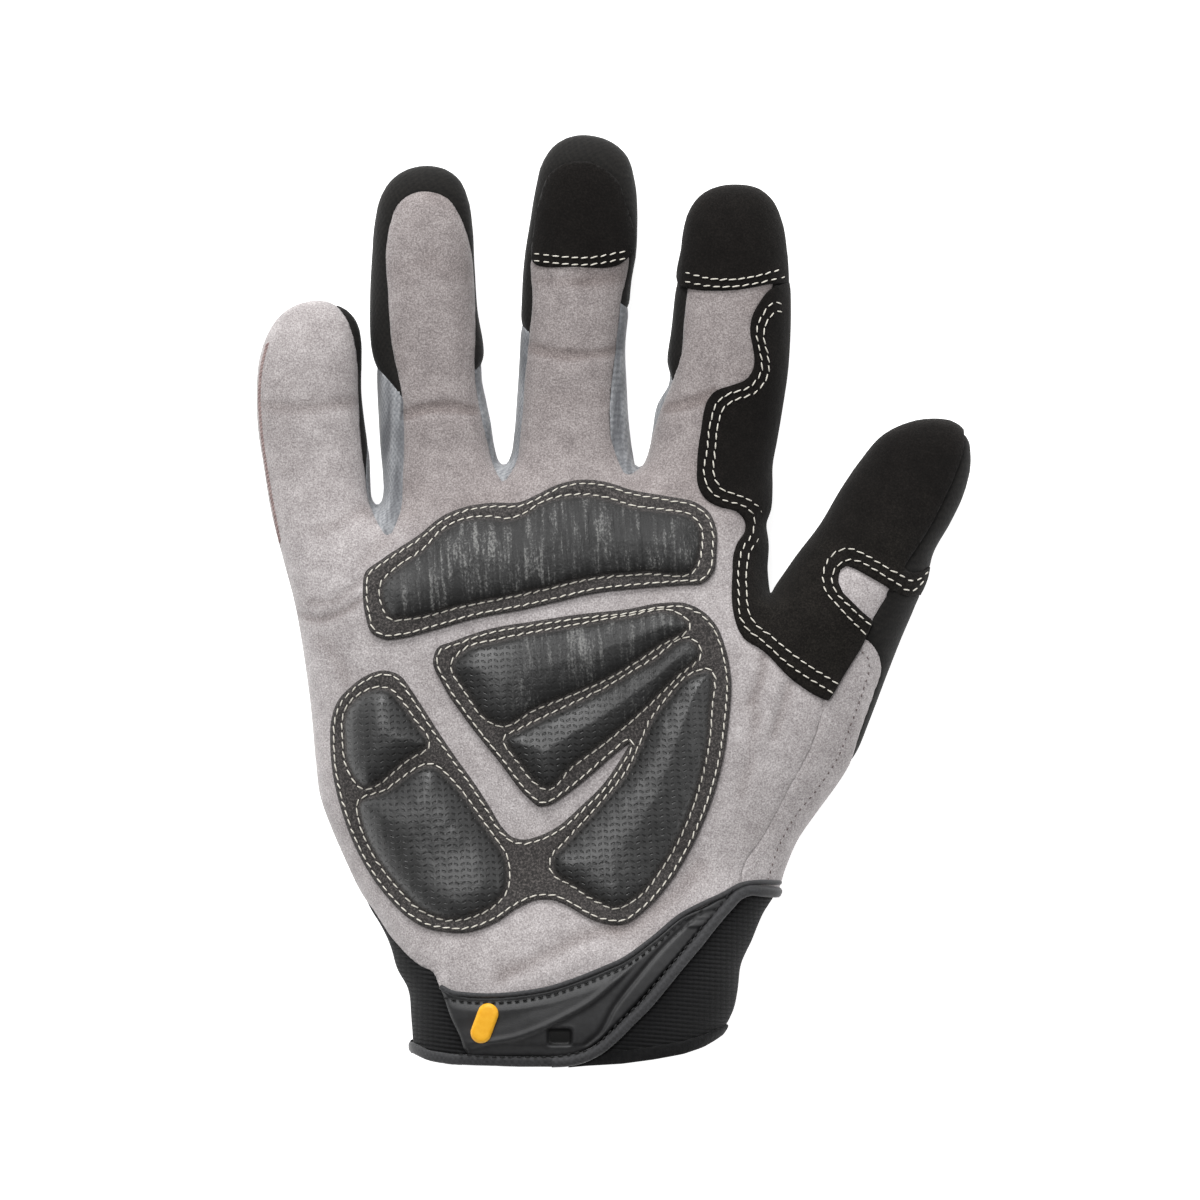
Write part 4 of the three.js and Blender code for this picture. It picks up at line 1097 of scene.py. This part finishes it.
def relief_sheet(line, relief, step, below=0.2, rounds=2):
    """A closed body over the front: grid squares cut along a line. relief(x, y) gives the height
    over the front and named values per point. Returns points, triangles, values and the top's
    height as a function."""
    x = np.arange(line[:, 0].min() - 1, line[:, 0].max() + 1, step)
    y = np.arange(line[:, 1].min() - 1, line[:, 1].max() + 1, step)
    px, py = np.meshgrid(x, y, indexing="ij")
    rise, values = relief(px, py)
    for _ in range(rounds):
        rise[1:-1, 1:-1] = (0.4 * rise + 0.15 * around(rise))[1:-1, 1:-1]
    top = front(px, py) + rise
    number = np.arange(px.size).reshape(px.shape)
    triangles = split(number[:-1, :-1], number[1:, :-1], number[1:, 1:], number[:-1, 1:])
    points = np.stack([px, py, top], -1).reshape(-1, 3)
    field = signed(line, px, py).ravel()
    extra = np.stack([value.ravel() for value in values.values()], -1)
    outer, triangles, carried = clip(points, triangles, field, extra)
    inner = outer.copy()
    inner[:, 2] = front(inner[:, 0], inner[:, 1]) - below
    both, triangles = thicken(outer, triangles, inner)
    values = {key: np.tile(carried[:, k], 2) for k, key in enumerate(values)}
    return both, triangles, values, lambda u, v: cubic(top, u, v, x[0], y[0], step)


def build_pad(name, line, cells, gathers, seed):
    """Returns the pad's top as a height function, and its outline and cells."""
    line = smooth_line(line, closed=True, step=0.6)
    cells = [smooth_line(cell, closed=True, step=0.6) for cell in cells]
    points, triangles, values, height = relief_sheet(
        line, lambda x, y: pad_relief(x, y, line, cells, gathers, seed), PAD_STEP)
    piece = make_piece(name + "_leather", points, triangles, name, PAD_LEATHER,
                       values)
    return height, line, cells


KNUCKLE_GATHERS = [(1.0, -57, -49)]
PALM_GATHERS = [(0.75, -32, -20), (0.6, -12, 4), (0, 0, 1), (0, 0, 1), (0, 0, 1)]
knuckle_top, knuckle_edge, knuckle_cells = build_pad(
    "knuckle_pad", KNUCKLE_LINE, KNUCKLE_CELLS, KNUCKLE_GATHERS, 11)
palm_top, palm_edge, palm_cells = build_pad(
    "palm_pad", PALM_LINE, PALM_CELLS, PALM_GATHERS, 23)

# %% [markdown]
# Stitches. Thread goes down and up through the leather, so from above each stitch is a short,
# slightly slanted grain of thread with a gap to the next one. One grain is a small capsule with
# six sides, and a whole row of them is placed with one array operation: along its line, at the
# height of what lies under it.

# %% Stitch rows
STITCH_PITCH, STITCH_LENGTH, STITCH_RADIUS = 2.35, 1.9, 0.2
SLANT, UNEVEN_SLANT, UNEVEN_LENGTH = math.radians(7), math.radians(4), 0.07
GRAIN_ALONG = np.array([-1.0, -0.82, 0.0, 0.82, 1.0])   # rings of a grain, as shares of its half
GRAIN_RADIUS = np.array([0.02, 0.72, 1.0, 0.72, 0.02])


def directions(path, closed):
    """Unit direction of a path at each point: towards the next point from the one before."""
    ahead = np.roll(path, -1, axis=0) - np.roll(path, 1, axis=0)
    if not closed:
        ahead[0], ahead[-1] = path[1] - path[0], path[-1] - path[-2]
    return unit(ahead)


def slopes(height, x, y, reach):
    """Slopes of a height along x and y, from the heights a reach before and behind."""
    return ((height(x + reach, y) - height(x - reach, y)) / (2 * reach),
            (height(x, y + reach) - height(x, y - reach)) / (2 * reach))


def tube_faces(rings, sides):
    """Triangles between the rings of a tube, and a fan over each of its ends."""
    k, j = np.arange(rings - 1)[:, None] * sides, np.arange(sides)
    j2, fan = (j + 1) % sides, np.arange(1, sides - 1)
    return np.vstack([split(k + j, k + j2, k + sides + j2, k + sides + j),
                      np.stack([0 * fan, fan + 1, fan], 1),
                      (rings - 1) * sides + np.stack([0 * fan, fan, fan + 1], 1)])


def offset_line(line, distance, closed=True):
    """A line moved sideways: to the outside of a closed line if distance > 0. Points that come
    nearer to the line than the distance, in tight inner corners, are left out."""
    ahead = directions(line, closed)
    area = (line[:, 0] * np.roll(line[:, 1], -1) - line[:, 1] * np.roll(line[:, 0], -1)).sum()
    turn = np.sign(area) if closed else 1
    moved = line + distance * turn * np.column_stack([ahead[:, 1], -ahead[:, 0]])
    far = distance_to(line, moved[:, 0], moved[:, 1], closed) > abs(distance) * 0.97
    return moved[far]


def grains(centres, along, up, length, radius, sides=6):
    """All capsules of a row as one array of points and triangles."""
    side = unit(np.cross(up, along))
    up = np.cross(along, side)
    angle = np.arange(sides) / sides * 2 * math.pi
    ring = (side[:, None, None] * np.cos(angle)[:, None] + up[:, None, None]
            * np.sin(angle)[:, None])
    length = np.broadcast_to(length, len(centres))[:, None, None, None]
    points = (centres[:, None, None]
              + along[:, None, None] * GRAIN_ALONG[:, None, None] * length / 2
              + ring * (GRAIN_RADIUS[:, None, None] * radius))
    rings = len(GRAIN_ALONG)
    first = np.arange(len(centres))[:, None, None] * rings * sides
    triangles = (tube_faces(rings, sides)[None] + first).reshape(-1, 3)
    return points.reshape(-1, 3), triangles


def stitch_row(line, height, pitch=STITCH_PITCH, closed=True, lift=0.12,
               length=STITCH_LENGTH, radius=STITCH_RADIUS):
    """Centres and directions along the line; the up direction from the height's slope."""
    flat = resample(np.vstack([line, line[:1]]) if closed else line, pitch, closed)
    ahead = directions(flat, closed)
    uneven = np.random.default_rng(len(flat)).normal(0, 1, (2, len(flat)))
    turn = SLANT + UNEVEN_SLANT * uneven[0]
    c, s = np.cos(turn), np.sin(turn)
    ahead = np.column_stack([c * ahead[:, 0] - s * ahead[:, 1], s * ahead[:, 0] + c * ahead[:, 1]])
    x, y = flat.T
    slope_x, slope_y = slopes(height, x, y, 0.4)
    along = unit(np.column_stack([ahead, ahead[:, 0] * slope_x + ahead[:, 1] * slope_y]))
    up = unit(np.column_stack([-slope_x, -slope_y, np.ones(len(x))]))
    centres = np.column_stack([x, y, height(x, y)]) + up * lift
    return grains(centres, along, up, length * (1 + UNEVEN_LENGTH * uneven[1]), radius)


def joined_piece(name, parts, node, finish):
    """Several point and triangle arrays, such as the rows of one seam, as one piece."""
    points, triangles, start = [], [], 0
    for part, faces in parts:
        points.append(part)
        triangles.append(faces + start)
        start += len(part)
    make_piece(name, np.vstack(points), np.vstack(triangles), node, finish)


OUTER_ROW, INNER_ROW = -1.05, 0.85
for name, node, top, edge, cells in (
        ("knuckle_stitches", "knuckle_pad", knuckle_top, knuckle_edge, knuckle_cells),
        ("palm_stitches", "palm_pad", palm_top, palm_edge, palm_cells)):
    rows = [offset_line(edge, OUTER_ROW)] + [offset_line(cell, INNER_ROW) for cell in cells]
    joined_piece(name, [stitch_row(row, top) for row in rows], node, THREAD)

# %% [markdown]
# The patches are sewn on with two rows of the same thread. Their stitches lie at the height of
# the patch over the front, which is lower at the fingertips.

# %% Stitches of the suede patches
PATCH_TOP, TIP_TOP = 0.85, 0.65
SADDLE_ROWS = [
    [(786, 309), (776, 302), (763, 314), (757, 328), (757, 341), (760, 353), (761, 371),
     (752, 385), (724, 397), (718, 402), (711, 420), (707, 450), (704, 476), (710, 491),
     (725, 501), (740, 505), (749, 510), (754, 521), (751, 535), (742, 549), (738, 567),
     (738, 594), (739, 614), (745, 627), (762, 641), (790, 666), (829, 691)],
    [(786, 318), (778, 311), (770, 317), (764, 330), (764, 341), (767, 353), (768, 373),
     (757, 391), (730, 403), (724, 408), (718, 424), (715, 450), (714, 476), (721, 489),
     (736, 495), (750, 501), (760, 510), (762, 522), (758, 538), (749, 553), (746, 568),
     (746, 594), (748, 612), (754, 623), (770, 636), (797, 658), (834, 682)],
]
WINDOW_ROWS = [
    [(926, 573), (914, 581), (897, 574), (879, 564), (862, 554), (847, 549), (831, 556),
     (823, 572), (824, 589), (838, 607), (862, 632)],
    [(921, 583), (911, 591), (895, 583), (880, 574), (863, 564), (849, 560), (837, 566),
     (831, 578), (834, 590), (848, 606), (867, 623)],
]
MIDDLE_TIP_ROWS = [[(537, 254), (560, 257), (590, 258), (622, 252)],
                   [(537, 261), (560, 264), (590, 265), (622, 259)]]
INDEX_TIP_ROWS = [[(688, 273), (705, 278), (733, 280), (753, 277), (772, 272), (785, 268)],
                  [(688, 282), (705, 286), (733, 287), (759, 283), (783, 277)]]


def skin_slope(x, y, z):
    """Outward direction of the blown skin: the gradient of ((z - middle) / swell)^2 - film."""
    film_x, film_y = slopes(film_at, x, y, 0.5)
    return unit(np.column_stack([-film_x, -film_y,
                                 2 * (z - middle_surface(x, y)) / swell(y) ** 2]))


def over_front(lift):
    """The front's height plus a constant."""
    return lambda x, y: front(x, y) + lift


def rows_on(pixel_rows, lift, **settings):
    """Open stitch rows along pixel lines, at a height over the front."""
    return [stitch_row(smooth_line(on_glove(row), step=0.5), over_front(lift), closed=False,
                       **settings) for row in pixel_rows]


joined_piece("saddle_stitches", rows_on(SADDLE_ROWS + WINDOW_ROWS, PATCH_TOP), "saddle_patch",
             THREAD)
strip_row = offset_line(smooth_line(STRIP_EDGE, step=0.5), 2.9, closed=False)
joined_piece("strip_stitches",
             [stitch_row(strip_row, over_front(0.0), closed=False, pitch=1.9, length=0.75,
                         radius=0.16, lift=0.0)], "thumb_side_strip", BROWN_THREAD)
LITTLE_SIDE = [(264, 345), (259, 365), (256.5, 392), (258, 425), (263, 465), (270, 505),
               (277, 540)]


def side_row(pixels, pitch=1.0, length=1.9, radius=0.5):
    """Overlock thread along the side seam: slanted stitches over the edge of the suede."""
    line = resample(smooth_line(on_glove(pixels), step=0.5), pitch)
    x, y = line.T + np.array([[0.7], [0.0]])
    z = front(x, y) - 0.35
    out = skin_slope(x, y, z)
    along = np.column_stack([0.25 + 0 * x, 0.75 + 0 * x, 0.6 + 0 * x])
    along = unit(along - out * (along * out).sum(axis=1, keepdims=True))
    return grains(np.column_stack([x, y, z]), along, out, length, radius)


joined_piece("little_side_stitches", [side_row(LITTLE_SIDE)], "palm_panel",
             SEAM_THREAD)
joined_piece("middle_tip_stitches", rows_on(MIDDLE_TIP_ROWS, TIP_TOP), "middle_tip_patch",
             THREAD)
joined_piece("index_tip_stitches", rows_on(INDEX_TIP_ROWS, TIP_TOP), "index_tip_patch",
             THREAD)

# %% [markdown]
# The cuff. A moulded rubber panel covers the front: below its sewn upper edge a raised ridge
# sweeps up to the right, with a second, lower step beside it, and near the hem is a small slot.
# The panel is one relief sheet, like the pads, on a fine grid.

# %% Rubber panel
RUBBER_LINE = on_glove([
    (441, 983), (452, 990), (466, 993), (488, 994), (518, 992), (548, 987), (579, 977),
    (606, 966), (622, 959), (652, 938), (684, 913), (704, 905), (730, 893), (728, 900),
    (705, 922), (682, 948), (659, 974), (636, 1000), (614, 1023), (591, 1043), (574, 1051),
    (530, 1052), (490, 1052), (468, 1050), (461, 1033), (452, 1014), (445, 994)])
RIDGE_LINE = on_glove([(468, 1046), (495, 1041), (515, 1037), (540, 1028), (567, 1015),
                       (593, 1000), (613, 983), (633, 963), (652, 944), (672, 924)])
SECOND_LINE = on_glove([(586, 1040), (598, 1030), (613, 1004), (637, 973), (663, 943),
                        (690, 917)])
SLOT_MIDDLE, SLOT_SIZE, SLOT_DEPTH = on_glove([(560, 1033)])[0], (3.3, 2.2), 1.7
RUBBER_RISE, STEP_RISE, RUBBER_STEP = 1.25, 0.8, 0.34


def above_line(line, x, y):
    """Signed distance to an open line that runs from left to right, positive above it."""
    level = np.interp(x, line[:, 0], line[:, 1])
    return np.where(y > level, 1, -1) * distance_to(line, x, y)


def rubber_relief(x, y):
    """Border, sewn groove under the arc, the ridge, the second step and the slot."""
    edge = -signed(rubber_edge, x, y)
    relief = RUBBER_RISE * (0.3 + 0.7 * rounded(edge, 0.8))
    arc = distance_to(ARC_LINE, x, y)
    relief -= 0.45 * bell(arc, 1.6, 0.5)
    ridge = above_line(ridge_line, x, y)
    relief += STEP_RISE * ease(-0.35, 0.35, ridge) * ease(2.0, 4.0, arc)
    relief += 0.35 * bell(ridge, 0.9, 0.7) * ease(2.0, 4.0, arc)
    relief -= 0.25 * bell(ridge, 5.5, 2.0) * ease(2.5, 5.0, arc)
    second = above_line(second_line, x, y)
    relief -= 0.8 * bell(second, 0, 0.6) * ease(1.2, 2.5, arc)
    relief -= 0.5 * ease(0.2, -0.4, second) * ease(1.2, 2.5, arc)
    dx, dy = (x - SLOT_MIDDLE[0]) / SLOT_SIZE[0], (y - SLOT_MIDDLE[1]) / SLOT_SIZE[1]
    slot = (np.abs(dx) ** 6 + np.abs(dy) ** 6) ** (1 / 6)
    relief -= SLOT_DEPTH * (1 - ease(0.82, 1.02, slot))
    relief += 0.15 * bell(slot, 1.16, 0.1)
    # The slot's floor is coloured black: the fabric under it, and painted shade in its depth.
    return relief, {"slot_fabric_and_shade": 1 - ease(0.8, 0.95, slot)}


rubber_edge = smooth_line(RUBBER_LINE, closed=True, step=0.6)
ridge_line = smooth_line(RIDGE_LINE, step=0.6)
second_line = smooth_line(SECOND_LINE, step=0.6)
points, triangles, values, _ = relief_sheet(rubber_edge, rubber_relief, RUBBER_STEP, 1.2, 1)
make_piece("cuff_rubber_panel_mould", points, triangles, "cuff_rubber_panel",
           RUBBER, values)

# %% [markdown]
# A plain yellow pill stands on the rubber, where the maker's sign is left out.

# %% Yellow pill
PILL_ENDS = on_glove([(489, 1010), (482, 1029)])
PILL_RADIUS, PILL_RISE, PILL_STEP = 2.6, 1.1, 0.25


def pill_outline():
    """Two half circles round the ends of a short line."""
    angle = np.linspace(0, 2 * math.pi, 72, endpoint=False)
    way = PILL_ENDS[0] - PILL_ENDS[1]
    along = np.cos(angle) * way[0] + np.sin(angle) * way[1] > 0
    middle = np.where(along[:, None], PILL_ENDS[0], PILL_ENDS[1])
    return middle + PILL_RADIUS * np.column_stack([np.cos(angle), np.sin(angle)])


def pill_relief(x, y):
    """A level a little over the rubber plus a rounded edge."""
    round_edge = rounded(-signed(pill_line, x, y), EDGE_ROUND)
    rise = RUBBER_RISE + STEP_RISE + PILL_RISE * (0.25 + 0.75 * round_edge)
    return rise, {"slot_fabric_and_shade": 0 * rise}


pill_line = resample(np.vstack([pill_outline(), pill_outline()[:1]]), 0.35, True)
points, triangles, values, _ = relief_sheet(pill_line, pill_relief, PILL_STEP, below=-1.0)
make_piece("cuff_accent_pill", points, triangles, "cuff_accent", YELLOW, values)

# %% [markdown]
# Piping and binding are long narrow things with one cross-section: a flattened tube that is
# carried along a path on the glove, turned so that its flat side lies on the fabric.

# %% Piping and bindings
TAPE_POWER = 0.75


def sweep(path, outward, width, thick, sides=14):
    """Squarish ellipse of width by thick carried along a path, flat side against the skin: the
    cosine and sine of its angle are raised to the power TAPE_POWER."""
    ahead = directions(path, closed=False)
    across = unit(np.cross(outward, ahead))
    outward = np.cross(ahead, across)
    angle = np.arange(sides) / sides * 2 * math.pi
    flat = np.sign(np.cos(angle)) * np.abs(np.cos(angle)) ** TAPE_POWER * width / 2
    high = np.sign(np.sin(angle)) * np.abs(np.sin(angle)) ** TAPE_POWER * thick / 2
    points = (path[:, None] + across[:, None] * flat[:, None] + outward[:, None] * high[:, None])
    return points.reshape(-1, 3), tube_faces(len(path), sides)


def tape_along(path, lift, width, thick):
    """A tape along a smooth line, lifted over the front."""
    x, y = smooth_line(path, step=0.6).T
    z = front(x, y)
    return sweep(np.column_stack([x, y, z + lift]), skin_slope(x, y, z), width, thick)


PIPING_PATH = on_glove([
    (442, 984), (452, 989), (466, 991), (488, 992), (518, 990), (548, 985), (579, 975),
    (606, 964), (620, 958), (652, 936), (682, 912), (704, 901), (722, 893), (742, 883),
    (760, 881), (779, 882)])
DIAGONAL_PATH = on_glove([
    (779, 892), (762, 890), (748, 889), (738, 893), (728, 903), (713, 920), (697, 940),
    (680, 960), (662, 982), (647, 1000), (630, 1017), (613, 1034), (598, 1046), (584, 1053),
    (568, 1057), (552, 1058)])
joined_piece("palm_piping_tape", [tape_along(PIPING_PATH, lift=0.75, width=1.15, thick=1.5)],
             "palm_piping", TAPE)
joined_piece("diagonal_binding_tape",
             [tape_along(DIAGONAL_PATH, lift=0.9, width=2.7, thick=2.9)],
             "diagonal_binding", TAPE)


def hem_ring(inset, steps=220):
    """The cuff's cross-section along the hem: x by cosine steps between the two ends of the
    film, the front from left to right and then the back."""
    x = np.linspace(-60, 40, 2001)
    y = np.interp(x, HEM_LINE[:, 0], HEM_LINE[:, 1]) + inset
    inside = x[film_at(x, y) > 0]
    middle_x, half = (inside[0] + inside[-1]) / 2, (inside[-1] - inside[0]) / 2
    angle = np.linspace(-math.pi, math.pi, steps, endpoint=False)
    x = middle_x + half * np.cos(angle)
    y = np.interp(x, HEM_LINE[:, 0], HEM_LINE[:, 1]) + inset
    root = swell(y) * np.sqrt(np.maximum(film_at(x, y), 0))
    z = middle_surface(x, y) - np.sign(angle) * root
    return np.column_stack([x, y, rest_on_table(z)])


# The grey binding lies on the front up to where the diagonal one ends. The rest of the edge is
# folded over; the fold starts and ends a little under the binding.
HEM_TURN = on_glove([(574, 1050)])[0][0]
BINDING_LIFT, FOLD_LIFT, FOLD_LOWEST = 0.35, 0.2, 0.62
ring = hem_ring(1.6)
slope = skin_slope(*ring.T)
grey_part = (slope[:, 2] > 0) & (ring[:, 0] < HEM_TURN)
order = np.argsort(ring[grey_part][:, 0])
grey_path = ring[grey_part][order] + slope[grey_part][order] * BINDING_LIFT
joined_piece("hem_binding_tape", [sweep(grey_path, slope[grey_part][order], 2.6, 1.5)],
             "hem_binding", TAPE)
end, start = np.flatnonzero(grey_part)[[0, -1]]
rest = np.roll(np.arange(len(ring)), -start - 1)
rest = np.concatenate([[start - 1, start], rest[~grey_part[rest]], [end, end + 1, end + 2]])
rest_path = ring[rest] + slope[rest] * FOLD_LIFT
rest_path[:, 2] = np.maximum(rest_path[:, 2], FOLD_LOWEST)
joined_piece("hem_fold", [sweep(rest_path, slope[rest], 3.4, 1.1)], "hem_binding",
             RIB_KNIT)
joined_piece("cuff_stitches",
             rows_on([[(447, 995), (466, 998), (490, 999), (520, 997), (550, 991), (582, 981),
                       (610, 969), (626, 962), (656, 941), (684, 918), (700, 909)],
                      [(731, 889), (720, 902), (704, 921), (688, 941), (671, 961), (653, 982),
                       (638, 1000), (620, 1017), (604, 1034), (592, 1045)],
                      [(462, 1051), (490, 1053), (520, 1053), (560, 1052), (585, 1047)]], 1.3,
                     pitch=2.0, length=1.3, radius=0.25),
             "diagonal_binding", BLACK_THREAD)

# %% [markdown]
# The picture. The glove lies on a pale table and is seen straight down from far away with a long
# lens, so that heights hardly shift anything sideways. A window stands beyond the fingertips and a
# softbox hangs high on the left: in the photograph the lower and right edges of each pad are the
# darkest, and the crowns of its cells shine.

# %% Table, camera and light
TABLE_SIZE, TABLE_WHITE, TABLE_GLOW = 3.0, 0.93, 0.9
table = bpy.data.meshes.new("table")
half = TABLE_SIZE / 2
table.from_pydata([(-half, -half, 0), (half, -half, 0), (half, half, 0), (-half, half, 0)], [],
                  [(0, 1, 2, 3)])
table_object = bpy.data.objects.new("table", table)
bpy.context.scene.collection.objects.link(table_object)
white = new_finish("white table", Roughness=0.9, Base_Color=(TABLE_WHITE,) * 3 + (1,),
                   Emission_Color=(1, 1, 1, 1), Emission_Strength=TABLE_GLOW)[0]
table.materials.append(white)

PHOTO_WIDTH = 1200
FRAME_WIDTH = PHOTO_WIDTH * MM_PER_PIXEL * MM
LENS, SENSOR, FOCUS_HEIGHT = 300.0, 36.0, 0.018
view = bpy.data.cameras.new("view")
view.lens, view.sensor_width = LENS, SENSOR
view.clip_end = 20.0
camera = bpy.data.objects.new("view", view)
middle_x, middle_y = on_glove([(PHOTO_WIDTH / 2, PHOTO_WIDTH / 2)])[0] * MM
camera.location = (middle_x, middle_y, FOCUS_HEIGHT + FRAME_WIDTH * LENS / SENSOR)
bpy.context.scene.collection.objects.link(camera)
bpy.context.scene.camera = camera


LIGHT_AIM = (0, 0, 0.02)
WORLD_LIGHT = 0.2


def soft_light(name, place, size, power):
    """A square area light at a place in metres, turned to look at the palm."""
    light = bpy.data.lights.new(name, "AREA")
    light.shape, light.size, light.energy = "SQUARE", size, power
    lamp = bpy.data.objects.new(name, light)
    bpy.context.scene.collection.objects.link(lamp)
    lamp.location = place
    way = np.array(LIGHT_AIM, float) - np.array(place, float)
    flat = math.hypot(way[0], way[1])
    lamp.rotation_euler = (math.atan2(flat, -way[2]), 0, math.atan2(way[1], way[0]) - math.pi / 2)


soft_light("window", (-0.5, 2.4, 1.4), 1.2, 66)
soft_light("softbox", (-0.6, 0.7, 2.6), 0.8, 36)
soft_light("room side", (1.8, 0.2, 1.2), 1.0, 9)
world = bpy.data.worlds.new("pale room")
bpy.context.scene.world = world
world.use_nodes = True
sky = world.node_tree.nodes["Background"].inputs
sky["Color"].default_value, sky["Strength"].default_value = (1, 1, 1, 1), WORLD_LIGHT
bpy.context.scene.view_settings.view_transform = "Standard"
print("camera", [round(v, 3) for v in camera.location])
